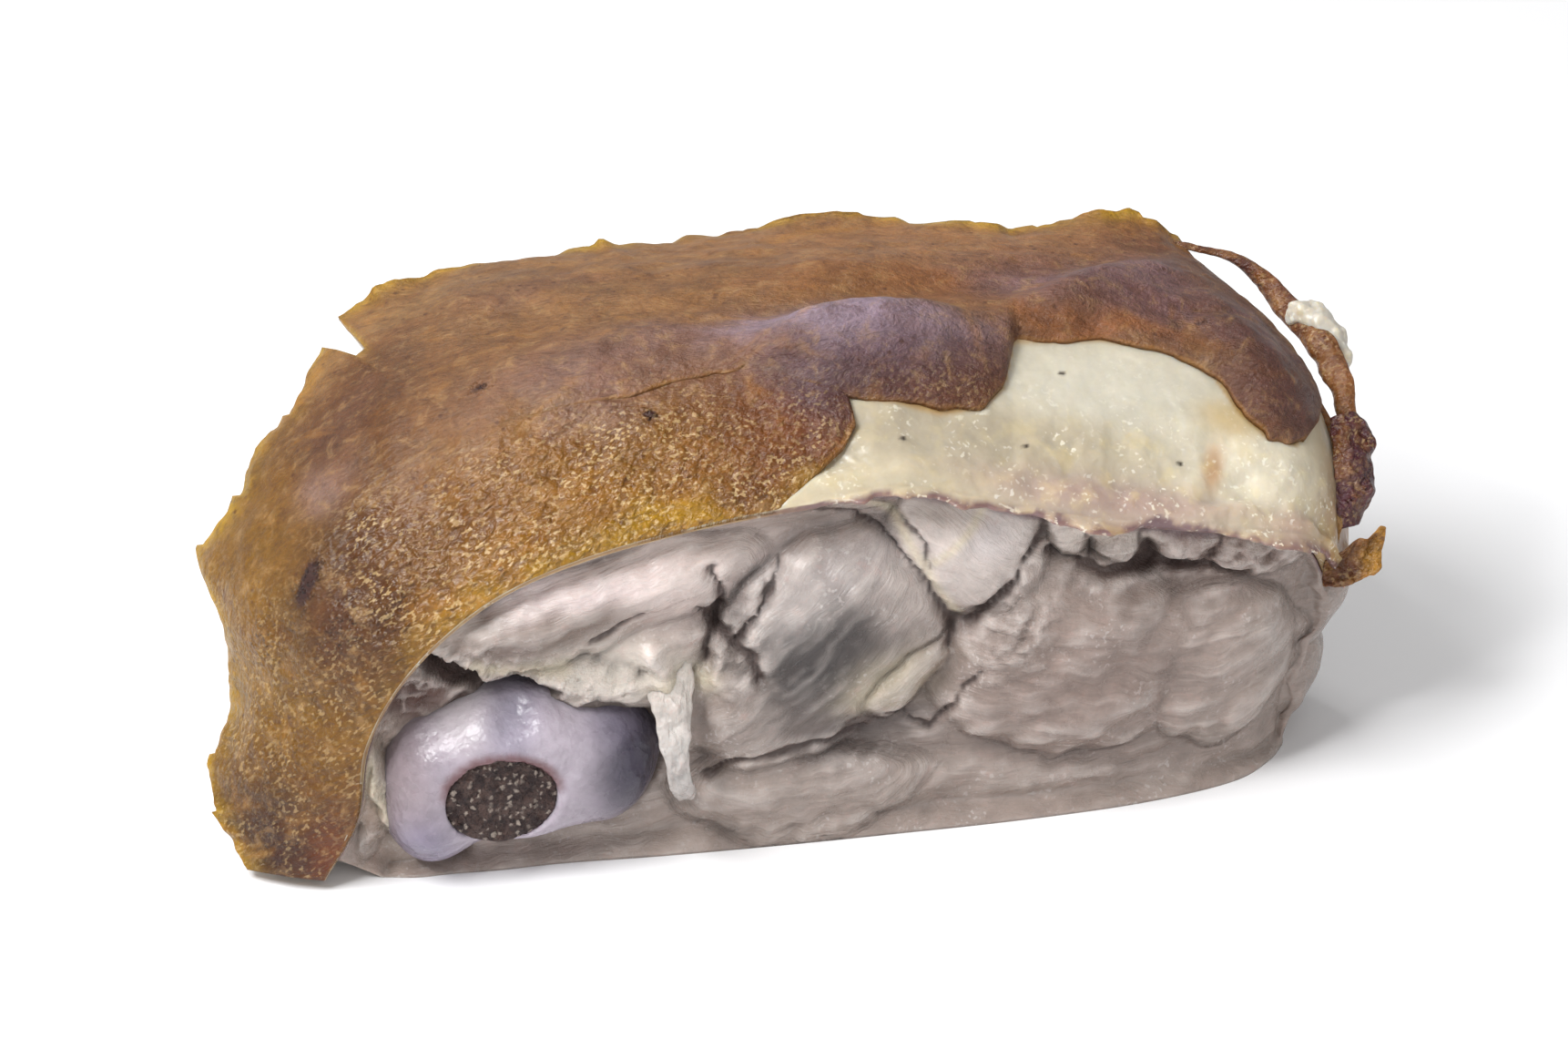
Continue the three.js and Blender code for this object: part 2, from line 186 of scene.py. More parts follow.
def layered(points: Array, layers: Layers) -> Array:
    """Adds up layers of noise.

    Args:
        points: Points in millimetres.
        layers: The seed, the size, the octaves and the height of each layer.

    Returns:
        A value for each point.
    """
    return sum(Lumps(seed).at(points, size, octaves) * height for seed, size, octaves, height in layers)


def srgb(red: int, green: int, blue: int) -> Rgb:
    """Turns a screen colour into a linear one.

    Args:
        red: The red channel, from 0 to 255, as are the others.
        green: The green channel.
        blue: The blue channel.

    Returns:
        The linear colour, from 0 to 1.
    """

    def linear(level: int) -> float:
        """One channel."""
        share = level / 255
        return share / 12.92 if share <= 0.04045 else ((share + 0.055) / 1.055) ** 2.4

    return linear(red), linear(green), linear(blue)


def seen(red: int, green: int, blue: int) -> Rgb:
    """The linear ground colour of something that looks like this screen colour in the studio."""
    return tuple(max(0.004, (level - SHEEN) / GAIN) for level in srgb(red, green, blue))


Spots = Sequence[Sequence[float]]  # the middle (2), the half size (2) and the strength of each


def spotted(spots: Spots, a: Array, b: Array) -> Array:
    """Lays soft spots over a surface with two coordinates.

    Args:
        spots: The spots.
        a: The first coordinate of each point.
        b: The second coordinate of each point.

    Returns:
        How much they cover together, from 0 to 1.
    """
    covers = [s * bell(np.hypot((a - x) / rx, (b - y) / ry)) for x, y, rx, ry, s in spots]
    return np.clip(sum(covers, a * 0), 0, 1)


@dataclass(frozen=True)
class Patch:
    """A soft patch of colour on a surface with two coordinates."""

    at: tuple[float, float]
    half: tuple[float, float]
    colour: Rgb
    strength: float

    @classmethod
    def rows(cls, *table: Sequence[float]) -> tuple["Patch", ...]:
        """Reads patches from a table.

        Args:
            *table: Rows of the middle (2), the half size (2), the screen colour (3), the strength.

        Returns:
            The patches, in the order in which they are laid.
        """
        return tuple(cls((a, b), (ra, rb), seen(*screen), s) for a, b, ra, rb, *screen, s in table)

    def cover(self, a: Array, b: Array) -> Array:
        """How much the patch covers at coordinates a and b, from 0 to its strength."""
        along, across = (a - self.at[0]) / self.half[0], (b - self.at[1]) / self.half[1]
        return self.strength * np.exp(-((along**2 + across**2) ** 1.5))


def stained(colour: Union[Rgb, Array], *stains: tuple[Union[Rgb, Array], Array]) -> Array:
    """Lays colours over a colour.

    Args:
        colour: What they are laid on, one colour or one for each point.
        *stains: Each colour, and how much it covers each point.

    Returns:
        A linear colour for each point.
    """
    colour = np.array(colour)
    for over, cover in stains:
        colour = mix(colour, np.array(over), cover[..., None])
    return colour


def painted(base: Rgb, patches: Sequence[Patch], a: Array, b: Array) -> Array:
    """Lays patches over a ground colour, at coordinates a and b."""
    return stained(base, *((patch.colour, patch.cover(a, b)) for patch in patches))


# ---- meshes


def block_faces(nu: int, nv: int, nw: int) -> tuple[Array, Array]:
    """The closed skin of a block of cells.

    Args:
        nu: Cells along the block.
        nv: Cells across it.
        nw: Cells through it.

    Returns:
        The grid place of each point, and the four points of each face.
    """
    on = np.zeros((nu + 1, nv + 1, nw + 1), bool)
    on[[0, -1]] = on[:, [0, -1]] = on[:, :, [0, -1]] = True
    index = np.full(on.shape, -1)
    index[on] = np.arange(on.sum())
    sides = [
        (index[:, :, 0], False), (index[:, :, -1], True),
        (index[:, 0], True), (index[:, -1], False),
        (index[0], False), (index[-1], True),
    ]
    faces = [quads_of(grid)[:, ::-1] if turned else quads_of(grid) for grid, turned in sides]
    return np.argwhere(on), np.vstack(faces)


def quads_of(grid: Array) -> Array:
    """The four points of each cell in a grid of point numbers."""
    cells = [grid[:-1, :-1], grid[1:, :-1], grid[1:, 1:], grid[:-1, 1:]]
    return np.stack(cells, -1).reshape(-1, 4)


def thickened(outer: Array, inner: Array, quads: Array) -> tuple[Array, Array]:
    """Closes a sheet that has an outer and an inner point for each place.

    Args:
        outer: The outer points.
        inner: The inner points, in the same order.
        quads: The faces of the outer side.

    Returns:
        All points, and the faces of both sides and of the rim between them.
    """
    count = len(outer)
    starts, ends = quads.ravel(), np.roll(quads, -1, axis=1).ravel()
    lone = ~np.isin(starts * count + ends, ends * count + starts)
    a, b = starts[lone], ends[lone]
    rim = np.stack([b, a, a + count, b + count], -1)
    return np.vstack([outer, inner]), np.vstack([quads, quads[:, ::-1] + count, rim])


def wrapped(
    distance: Callable[[Array], Array], low: Sequence[float], high: Sequence[float], step: float,
) -> tuple[Array, Array]:
    """Wraps a form that is given by its distance field in a mesh.

    Args:
        distance: Gives the signed distance of points, negative inside.
        low: The lowest corner of the space looked at.
        high: Its highest corner.
        step: The size of the cells.

    Returns:
        The points and the four points of each face.
    """
    axes = [np.arange(a, b + step, step) for a, b in zip(low, high)]
    value = distance(np.stack(np.meshgrid(*axes, indexing="ij"), -1))
    cells = tuple(n - 1 for n in value.shape)
    others = ([1, 2], [0, 2], [0, 1])  # the axes across each axis

    def window(axis: int, starts: Sequence[int], less: int) -> tuple[slice, ...]:
        """Cuts out a part of a raster.

        Args:
            axis: The axis along which it is whole.
            starts: Where it starts across that axis.
            less: How many cells it is short of all of them.

        Returns:
            The part's slices.
        """
        part = [slice(None)] * 3
        for other, first in zip(others[axis], starts):
            part[other] = slice(first, cells[other] + first - less)
        return tuple(part)

    total, count = np.zeros(cells + (3,)), np.zeros(cells)
    place = np.stack(np.meshgrid(*(np.arange(n) for n in cells), indexing="ij"), -1).astype(float)
    crossings = []
    for axis in range(3):
        near = np.take(value, np.arange(cells[axis]), axis)
        far = np.take(value, np.arange(1, cells[axis] + 1), axis)
        cross = (near < 0) != (far < 0)
        share = np.where(cross, near / np.where(cross, near - far, 1), 0)
        crossings.append((cross, near < 0))
        for offset in product((0, 1), repeat=2):
            part = window(axis, offset, 0)
            shift = np.zeros(cells + (3,))
            shift[..., axis] = share[part]
            shift[..., others[axis]] = offset
            total += np.where(cross[part][..., None], place + shift, 0)
            count += cross[part]
    index = np.full(cells, -1)
    index[count > 0] = np.arange((count > 0).sum())
    points = total[count > 0] / count[count > 0][:, None] * step + np.array(low)
    faces = []
    for axis, (cross, inside) in enumerate(crossings):
        part = window(axis, (1, 1), 1)
        hit = cross[part]
        corners = [index[window(axis, offset, 1)][hit] for offset in ((0, 0), (1, 0), (1, 1), (0, 1))]
        quad = np.stack(corners, -1)
        turned = inside[part][hit] ^ (axis == 1)
        faces.append(np.where(turned[:, None], quad, quad[:, ::-1]))
    return points, np.vstack(faces)


def facing_out(points: Array, faces: Array) -> Array:
    """Turns the faces of a closed mesh over if they face in.

    Args:
        points: The mesh's points.
        faces: The four points of each face.

    Returns:
        The faces, facing out.
    """
    a, b, c, d = (points[faces[:, k]] for k in range(4))
    volume = (np.cross(c - a, d - b) * (a + b + c + d)).sum()
    return faces if volume > 0 else faces[:, ::-1]


def placed(name: str, data: bpy.types.ID) -> bpy.types.Object:
    """Puts a mesh, light or camera into the scene."""
    made = bpy.data.objects.new(name, data)
    bpy.context.scene.collection.objects.link(made)
    return made


@dataclass
class Piece:
    """A piece of the portion: its mesh, what is painted on it, and what it stands for.

    Attributes:
        name: The piece's name.
        points: Points in millimetres.
        faces: The four points of each face.
        finish: The material it wears.
        slot: The material slot in the record; not used.
        paints: Values or colours for each point, by name.
        stands_for: The solids that it replaces.
    """

    name: str
    points: Array
    faces: Array
    finish: bpy.types.Material
    slot: str
    paints: dict[str, Array] = field(default_factory=dict)
    stands_for: tuple[str, ...] = ()

    def make(self) -> bpy.types.Object:
        """Makes the object, seats it on the body and hides the solids that it stands for.

        Returns:
            The finished object.
        """
        points = (self.points + TO_CENTRE) * MM
        faces = facing_out(points, self.faces)
        mesh = bpy.data.meshes.new(self.name)
        mesh.vertices.add(len(points))
        mesh.vertices.foreach_set("co", points.astype(np.float32).ravel())
        mesh.loops.add(faces.size)
        mesh.loops.foreach_set("vertex_index", faces.astype(np.int32).ravel())
        mesh.polygons.add(len(faces))
        mesh.polygons.foreach_set("loop_start", np.arange(0, faces.size, 4, dtype=np.int32))
        mesh.polygons.foreach_set("use_smooth", np.ones(len(faces), bool))
        mesh.update(calc_edges=True)
        for name, values in self.paints.items():
            self.paint(mesh, name, values)
        mesh.validate()
        mesh.materials.append(self.finish)
        piece = placed(self.name, mesh)
        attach(piece, BODY)
        if self.stands_for:
            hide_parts(*self.stands_for)
        LOG.info("%s: %d points, %d faces", self.name, len(points), len(faces))
        return piece

    @staticmethod
    def paint(mesh: bpy.types.Mesh, name: str, values: Array) -> None:
        """Stores values or colours on the mesh's points.

        Args:
            mesh: The mesh painted.
            name: What a material calls them.
            values: A number or a linear colour for each point.
        """
        if values.ndim == 1:
            layer = mesh.attributes.new(name, "FLOAT", "POINT")
            layer.data.foreach_set("value", values.astype(np.float32))
            return
        rgba = np.hstack([values, np.ones((len(values), 1))]).astype(np.float32)
        layer = mesh.attributes.new(name, "FLOAT_COLOR", "POINT")
        layer.data.foreach_set("color", rgba.ravel())


# ---- materials


Number = Union["Wire", float]


class Wire:
    """A shader socket that adds Math nodes as it is worked with."""

    def __init__(self, paint: "Paint", socket: bpy.types.NodeSocket) -> None:
        """Wraps a socket of a material."""
        self.paint = paint
        self.socket = socket

    def __add__(self, other: Number) -> "Wire":
        """This plus other."""
        return self.paint.maths("ADD", self, other)

    def __sub__(self, other: Number) -> "Wire":
        """This minus other."""
        return self.paint.maths("SUBTRACT", self, other)

    def __rsub__(self, other: Number) -> "Wire":
        """Other minus this."""
        return self.paint.maths("SUBTRACT", other, self)

    def __mul__(self, other: Number) -> "Wire":
        """This times other."""
        return self.paint.maths("MULTIPLY", self, other)

    __radd__ = __add__
    __rmul__ = __mul__

    def step(self, low: float, high: float) -> "Wire":
        """Makes a soft step.

        Args:
            low: Where the step is 0.
            high: Where it is 1.

        Returns:
            The step.
        """
        settings = {"interpolation_type": "SMOOTHSTEP"}
        sockets = {"Value": self, "From Min": low, "From Max": high}
        return self.paint.node("ShaderNodeMapRange", settings, sockets)


Link = Union[Wire, float, Sequence[float]]


class Paint:
    """A material in the making, on Blender's main shader."""

    SOFT_BORDER = 0.5

    def __init__(self, name: str, **constants: Link) -> None:
        """Starts the material.

        Args:
            name: The material's name.
            **constants: Values of the shader that are the same all over, with _ for a space.
        """
        self.material = bpy.data.materials.new(name)
        self.material.use_nodes = True
        self.tree = self.material.node_tree
        self.shader = self.tree.nodes["Principled BSDF"]
        for socket, value in constants.items():
            self.feed(self.shader, socket.replace("_", " ").title().replace("Ior", "IOR"), value)
        coordinates = self.node("ShaderNodeTexCoord", out="Object")
        self.place = self.vector("SCALE", coordinates, scale=1 / MM)

    def feed(self, node: bpy.types.Node, socket: Union[str, int], value: Link) -> None:
        """Sets a socket of a node, or links it.

        Args:
            node: The node fed.
            socket: The name or number of its input.
            value: A link, a number, a vector or a colour.
        """
        if isinstance(value, Wire):
            self.tree.links.new(value.socket, node.inputs[socket])
            return
        target = node.inputs[socket]
        wants_four = target.type == "RGBA" and not isinstance(value, (int, float))
        target.default_value = (*value, 1.0) if wants_four and len(value) == 3 else value

    def node(
        self,
        kind: str,
        settings: Optional[dict] = None,
        sockets: Optional[dict] = None,
        out: Union[str, int] = 0,
    ) -> Wire:
        """Adds a node.

        Args:
            kind: The node's type.
            settings: Its settings, set first.
            sockets: Values or links of its sockets, by name or number.
            out: The output wanted.

        Returns:
            The output, ready to be worked with.
        """
        made = self.tree.nodes.new(kind)
        for name, value in (settings or {}).items():
            setattr(made, name, value)
        for socket, value in (sockets or {}).items():
            self.feed(made, socket, value)
        return Wire(self, made.outputs[out])

    def maths(self, operation: str, a: Number, b: Number) -> Wire:
        """One Math node."""
        return self.node("ShaderNodeMath", {"operation": operation}, {0: a, 1: b})

    def vector(
        self, operation: str, a: Link, b: Optional[Link] = None, scale: Optional[Number] = None,
    ) -> Wire:
        """Adds one Vector Math node.

        Args:
            operation: What it does.
            a: A vector or colour.
            b: Another, where the operation takes one.
            scale: A number, where it takes one.

        Returns:
            The vector or colour that comes out.
        """
        sockets = {0: a}
        if b is not None:
            sockets[1] = b
        if scale is not None:
            sockets["Scale"] = scale
        return self.node("ShaderNodeVectorMath", {"operation": operation}, sockets)

    def blend(self, factor: Number, a: Link, b: Link) -> Wire:
        """Mixes colour a with a share of colour b."""
        return self.node("ShaderNodeMix", {"data_type": "RGBA"}, {0: factor, 6: a, 7: b}, out=2)

    def layers(self, ground: Link, *over: tuple[Number, Link]) -> Wire:
        """Lays colours over a ground.

        Args:
            ground: The ground's colour.
            *over: How much each covers, and its colour.

        Returns:
            The colour that is seen.
        """
        for factor, colour in over:
            ground = self.blend(factor, ground, colour)
        return ground

    def mask(self, name: str) -> Wire:
        """A value painted on the mesh."""
        return self.node("ShaderNodeAttribute", {"attribute_name": name}, out="Fac")

    def colour(self, name: str) -> Wire:
        """A colour painted on the mesh."""
        return self.node("ShaderNodeAttribute", {"attribute_name": name}, out="Color")

    def along(self, stretch: Sequence[float], turn: Sequence[float]) -> Wire:
        """Places for a texture with a grain.

        Args:
            stretch: How much the turned place is scaled along each axis.
            turn: How far the place is turned about each axis, in degrees.

        Returns:
            The place in millimetres, turned and then scaled.
        """
        sockets = {"Vector": self.place, "Rotation": [math.radians(x) for x in turn]}
        turned = self.node("ShaderNodeMapping", {"vector_type": "POINT"}, sockets)
        return self.vector("MULTIPLY", turned, list(stretch))

    def noise(
        self, size: float, detail: float = 3, rough: float = 0.5, warp: float = 0,
        place: Optional[Wire] = None,
    ) -> Wire:
        """Cloudy noise.

        Args:
            size: The size of its lumps in millimetres.
            detail: How many halved sizes are added.
            rough: How strong each is against the one before.
            warp: How much the noise is bent by itself.
            place: Where it is read, or the object's own place.

        Returns:
            A value mostly from 0 to 1.
        """
        sockets = {"Vector": place or self.place, "Scale": 1 / size, "Detail": detail}
        sockets.update(Roughness=rough, Distortion=warp)
        return self.node("ShaderNodeTexNoise", None, sockets)

    def cells(
        self, size: float, kind: str = "F1", place: Optional[Wire] = None, out: str = "Distance",
    ) -> Wire:
        """Cells like pebbles or scales.

        Args:
            size: Their size in millimetres.
            kind: F1, or SMOOTH_F1 for cells with soft borders.
            place: Where they are read, or the object's own place.
            out: Distance from their middles, or Color, one at random for each.

        Returns:
            The output wanted.
        """
        sockets = {"Vector": place or self.place, "Scale": 1 / size}
        if kind == "SMOOTH_F1":
            sockets["Smoothness"] = self.SOFT_BORDER
        return self.node("ShaderNodeTexVoronoi", {"feature": kind}, sockets, out)

    def relief(self, height: Wire, depth: float, under: Optional[Wire] = None) -> Wire:
        """Adds bumps.

        Args:
            height: Their height, from 0 to 1.
            depth: How deep they are in millimetres.
            under: Other bumps that they lie on.

        Returns:
            The normal.
        """
        sockets = {"Height": height, "Distance": depth * MM, "Strength": 1.0}
        if under is not None:
            sockets["Normal"] = under
        return self.node("ShaderNodeBump", None, sockets)

    def done(self, **sockets: Wire) -> bpy.types.Material:
        """Links what varies to the shader.

        Args:
            **sockets: The shader's sockets, with _ for a space.

        Returns:
            The finished material.
        """
        for socket, value in sockets.items():
            self.feed(self.shader, socket.replace("_", " ").title(), value)
        return self.material


def under_skin(weight: float, reach: Rgb, depth: float) -> dict[str, Link]:
    """Says how light glows in what lies under a surface.

    Args:
        weight: How much of the light goes in.
        reach: How far each colour goes, against the furthest.
        depth: How far the furthest goes in millimetres.

    Returns:
        The shader's values by name.
    """
    return {"subsurface_weight": weight, "subsurface_radius": reach, "subsurface_scale": depth * MM}


@dataclass(frozen=True)
class SkinFinish:
    """Roasted skin: leathery brown, greasy and pebbled where it is wet, with painted glints and painted
    shade between the pebbles there, golden at thin edges.
    """

    name: str = "roasted_skin"
    rim_gold: Rgb = seen(188, 134, 52)
    char: Rgb = seen(62, 46, 46)
    pore: Rgb = seen(82, 54, 36)
    light: Rgb = seen(176, 140, 96)
    brown: Rgb = seen(112, 74, 48)
    amber: Rgb = seen(176, 124, 62)
    # colour of painted glints on the wet skin
    grease_and_glint: Rgb = seen(224, 194, 142)
    grain: float = 1.2  # width of the grain that the wet skin glints on
    wrinkle: float = 3.0  # size of the wrinkles on the folds
    glow: ClassVar[dict[str, Link]] = under_skin(0.15, (1.0, 0.45, 0.15), 1.5)

    def make(self) -> bpy.types.Material:
        """Builds the material.

        Returns:
            The material.
        """
        p = Paint(self.name, ior=1.42, **self.glow)
        tint, wet, dull = p.colour("tint"), p.mask("wet"), p.mask("wrinkled")
        rim, char = p.mask("rim"), p.mask("char")
        cloud = p.noise(8, 5, 0.6)
        fine = p.noise(0.9, 4, 0.7).step(0.28, 0.72)
        leather = p.noise(0.7, 4, 0.62, place=p.along((0.5, 1, 1.1), (0, 30, 0)))
        mottle = p.noise(3.0, 5, 0.7, 0.5)
        stains = p.noise(10, 4, 0.6, 0.9, p.along((0.7, 1, 1), (0, 20, 0)))
        shades = cloud.step(0.25, 0.75) * 0.3 + fine * 0.22 + leather.step(0.3, 0.7) * 0.2
        pores = 1 - p.cells(2.1).step(0.08, 0.26)
        grain = p.noise(self.grain, 2, 0.5, 0.3, p.along((0.5, 1, 1), (0, 40, 0)))
        pebbles = grain.step(0.3, 0.7)
        greasy = wet * (0.35 + 0.65 * p.noise(7, 3).step(0.4, 0.6))
        glint_flecks = p.noise(0.6, 1, 0.5, 0, p.along((0.6, 1, 1), (0, 40, 0)))
        ragged = (rim * (0.2 + p.noise(5, 4, 0.6) * 1.3)).step(0.5, 1.1)
        burnt = (char * (0.45 + p.noise(0.9, 4, 0.7) * 1.1)).step(0.4, 0.75)
        colour = p.layers(
            p.vector("SCALE", tint, scale=0.5 + shades),
            (stains.step(0.5, 0.68) * 0.35, self.brown),
            ((1 - stains).step(0.54, 0.7) * 0.3, self.amber),
            (mottle.step(0.5, 0.7) * 0.45, self.pore),
            ((1 - mottle).step(0.5, 0.72) * 0.4, self.light),
            (pores * p.noise(6, 2).step(0.45, 0.6) * 0.7, self.pore),
            # painted shade in the pits between the pebbles, and painted glints on the pebbles, where the
            # skin is wet
            ((1 - grain.step(0.34, 0.5)) * greasy * 0.45, self.pore),
            (glint_flecks.step(0.54, 0.66) * greasy * 0.52, self.grease_and_glint),
            (ragged * 0.25, self.rim_gold),
            (burnt * 0.9, self.char),
        )
        folds = p.noise(self.wrinkle, 5, 0.66, 0.8, p.along((0.4, 1, 1), (0, 8, 0)))
        under = p.relief(folds * (0.35 + dull * 0.65), 1.0)
        under = p.relief(leather.step(0.25, 0.75) * (0.55 + 0.45 * dull), 0.17, under)
        under = p.relief((1 - p.cells(0.9, "SMOOTH_F1").step(0.0, 0.6)) * char, 0.9, under)
        normal = p.relief(pebbles * (0.06 + 0.94 * wet), 0.4, under)
        roughness = 0.5 - 0.36 * wet - 0.1 * dull + (cloud - 0.5) * 0.14
        return p.done(base_color=colour, roughness=roughness, normal=normal)


@dataclass(frozen=True)
class FatFinish:
    """Soft fat: cream, translucent, smooth near the skin and beaded with greasy drops below, with painted
    glints.
    """

    name: str = "roasted_fat"
    # the yellow of greasy beads on the fat
    grease_and_glint: Rgb = seen(226, 206, 150)
    glint: Rgb = seen(246, 242, 228)
    speck: Rgb = seen(60, 48, 36)
    glow: ClassVar[dict[str, Link]] = under_skin(0.7, (1.0, 0.75, 0.45), 3.5)

    def make(self) -> bpy.types.Material:
        """Builds the material.

        Returns:
            The material.
        """
        p = Paint(self.name, ior=1.5, **self.glow)
        tint, beaded = p.colour("tint"), p.mask("beaded")
        cloud = p.noise(6, 4, 0.55)
        fine = p.noise(1.1, 3, 0.6)
        shades = cloud.step(0.25, 0.75) * 0.12 + fine.step(0.3, 0.7) * 0.05
        # painted glints, most on the beaded fat
        glint_flecks = p.noise(0.8, 1, 0.5).step(0.58, 0.7) * p.noise(5, 2).step(0.42, 0.62)
        colour = p.layers(
            p.vector("SCALE", tint, scale=0.86 + shades),
            (p.noise(3.2, 4).step(0.5, 0.7) * beaded * 0.3, self.grease_and_glint),
            (glint_flecks * (0.15 + 0.55 * beaded), self.glint),
            (p.mask("speck"), self.speck),
        )
        under = p.relief(p.noise(4.5, 1, 0.3, 0.5), 0.5)
        normal = p.relief(p.noise(1.6, 1, 0.3, 0.4) * (0.2 + 0.8 * beaded), 0.22, under)
        roughness = 0.33 + (cloud - 0.5) * 0.14
        return p.done(base_color=colour, roughness=roughness, normal=normal)


@dataclass(frozen=True)
class MeatFinish:
    """Moist cooked pork: pale grey and pink, with fibres along each muscle, dark seams and cracks, painted
    shade in its hollows and painted glints.
    """

    name: str = "cooked_pork"
    # dark of seams and cracks, and of painted shade in hollows and painted shadow beside the knuckle
    seam: Rgb = seen(76, 62, 59)
    sinew: Rgb = seen(220, 208, 198)
    blush: Rgb = seen(184, 150, 142)
    # pale of painted wet glints
    wet: Rgb = seen(226, 218, 214)
    fibre: float = 0.6  # width of its fibres
    glow: ClassVar[dict[str, Link]] = under_skin(0.3, (1.0, 0.6, 0.5), 1.8)

    def make(self) -> bpy.types.Material:
        """Builds the material.

        Returns:
            The material.
        """
        p = Paint(self.name, ior=1.48, **self.glow)
        tint, seam, ragged = p.colour("tint"), p.mask("seam"), p.mask("ragged")
        lengthwise = {"X": p.mask("run") * 0.14, "Y": p.mask("cross"), "Z": p.mask("depth")}
        grain = p.node("ShaderNodeCombineXYZ", None, lengthwise)
        fibres = p.noise(self.fibre, 4, 0.62, 0.4, grain)
        coarse = p.noise(2.2, 4, 0.6, 0.5, grain)
        cloud = p.noise(6, 5, 0.65)
        mottle = p.noise(2.4, 5, 0.7)
        shades = cloud.step(0.25, 0.75) * 0.22 + fibres.step(0.3, 0.7) * 0.12 + mottle.step(0.3, 0.7) * 0.14
        pale = p.node("ShaderNodeRGBToBW", None, {"Color": tint}).step(0.06, 0.3)
        # painted glints where the meat is pale
        glint_flecks = p.noise(0.8, 1, 0.5).step(0.58, 0.7) * p.noise(7, 3).step(0.48, 0.64)
        # dark seams and cracks, with painted shade and painted shadow
        dark = (seam * (0.55 + mottle * 0.9)).step(0.2, 0.9)
        colour = p.layers(
            p.vector("SCALE", tint, scale=0.78 + shades),
            (mottle.step(0.55, 0.75) * pale * 0.35, self.blush),
            (coarse.step(0.56, 0.8) * (0.06 + 0.24 * pale), self.sinew),
            (glint_flecks * (0.06 + 0.3 * pale), self.wet),
            (dark * 0.76, self.seam),
        )
        crumbs = p.noise(1.6, 5, 0.7, 0.3)
        under = p.relief(crumbs * (0.16 + ragged), 0.8)
        under = p.relief(coarse, 0.32, under)
        normal = p.relief(fibres, 0.2, under)
        roughness = 0.33 - cloud.step(0.35, 0.65) * 0.16 + dark * 0.25
        return p.done(base_color=colour, roughness=roughness, normal=normal)


@dataclass(frozen=True)
class BoneFinish:
    """Smooth wet cartilage over bone, lavender white, reddish round the marrow."""

    name: str = "knuckle_cartilage"
    red: Rgb = seen(112, 74, 74)
    glow: ClassVar[dict[str, Link]] = under_skin(0.6, (1.0, 0.8, 0.9), 3.0)

    def make(self) -> bpy.types.Material:
        """Builds the material.

        Returns:
            The material.
        """
        p = Paint(self.name, ior=1.45, **self.glow)
        cloud = p.noise(6, 3, 0.5)
        shades = cloud.step(0.25, 0.75) * 0.2 + p.noise(1.6, 4, 0.6).step(0.3, 0.7) * 0.1
        ring = (p.mask("ring") * (0.7 + p.noise(1.5, 3) * 0.6)).step(0.3, 0.95)
        colour = p.layers(
            p.vector("SCALE", p.colour("tint"), scale=0.78 + shades),
            (ring * 0.85, self.red),
            (p.mask("marrow").step(0.3, 0.7), self.red),
        )
        normal = p.relief(p.noise(1.4, 4, 0.55), 0.22, p.relief(p.noise(5, 3), 0.9))
        return p.done(base_color=colour, roughness=0.14 + cloud * 0.28, normal=normal)


@dataclass(frozen=True)
class MarrowFinish:
    """Cooked marrow: dark brown with pale grains."""

    name: str = "cooked_marrow"
    dark: Rgb = seen(58, 44, 42)
    brown: Rgb = seen(96, 76, 70)
    grain: Rgb = seen(182, 166, 154)
    cell: float = 0.95  # size of its grains
    bend: float = 1.1  # how far their places are bent
    bends_each: float = 1.2  # how often in a millimetre

    def make(self) -> bpy.types.Material:
        """Builds the material.

        Returns:
            The material.
        """
        p = Paint(self.name, ior=1.48)
        sockets = {"Vector": p.place, "Scale": self.bends_each}
        bend = p.node("ShaderNodeTexNoise", None, sockets, out="Color")
        place = p.vector("ADD", p.place, p.vector("SCALE", bend, scale=self.bend))
        cells = p.cells(self.cell, place=place)
        pick = p.node("ShaderNodeSeparateColor", None, {0: p.cells(self.cell, place=place, out="Color")})
        colour = p.blend(p.noise(1.8, 4, 0.6).step(0.35, 0.65), self.dark, self.brown)
        bright = pick.step(0.46, 0.72) * (1 - cells.step(0.25, 0.55))
        colour = p.blend(bright, colour, self.grain)
        normal = p.relief(p.noise(0.6, 4, 0.7), 0.7, p.relief(1 - cells, 1.2))
        return p.done(base_color=colour, roughness=0.42 + p.noise(1, 2) * 0.2, normal=normal)


@dataclass(frozen=True)
class FloorFinish:
    """A plain pale floor."""

    name: str = "pale_floor"
    colour: Rgb = (0.86, 0.86, 0.87)

    def make(self) -> bpy.types.Material:
        """Builds the material."""
        return Paint(self.name, base_color=self.colour, roughness=0.6).material


# ---- the roof


@dataclass(frozen=True)
class Fold:
    """A fold, blister or hollow of the crackling, as in the solids."""

    rib: float  # its middle
    share: float
    length: float  # in ribs
    front: float  # its half width to the front, as a share
    back: float
    slope: float  # how far it runs back to the right
    height: float
    FALL = 1.6

    @classmethod
    def rows(cls, *table: Sequence[float]) -> tuple["Fold", ...]:
        """Reads folds from rows of their seven sizes."""
        return tuple(cls(*row) for row in table)

    def lift(self, rib: Array, share: Array) -> Array:
        """How much it lifts the crackling.

        Args:
            rib: The rib of each place.
            share: Its share over the roof.

        Returns:
            The lift in millimetres.
        """
        along = (rib - self.rib) / self.length
        offset = share - self.share - self.slope * along
        across = offset / np.where(offset < 0, self.front, self.back)
        return self.height * np.exp(-self.FALL * (along**2 + across**2))


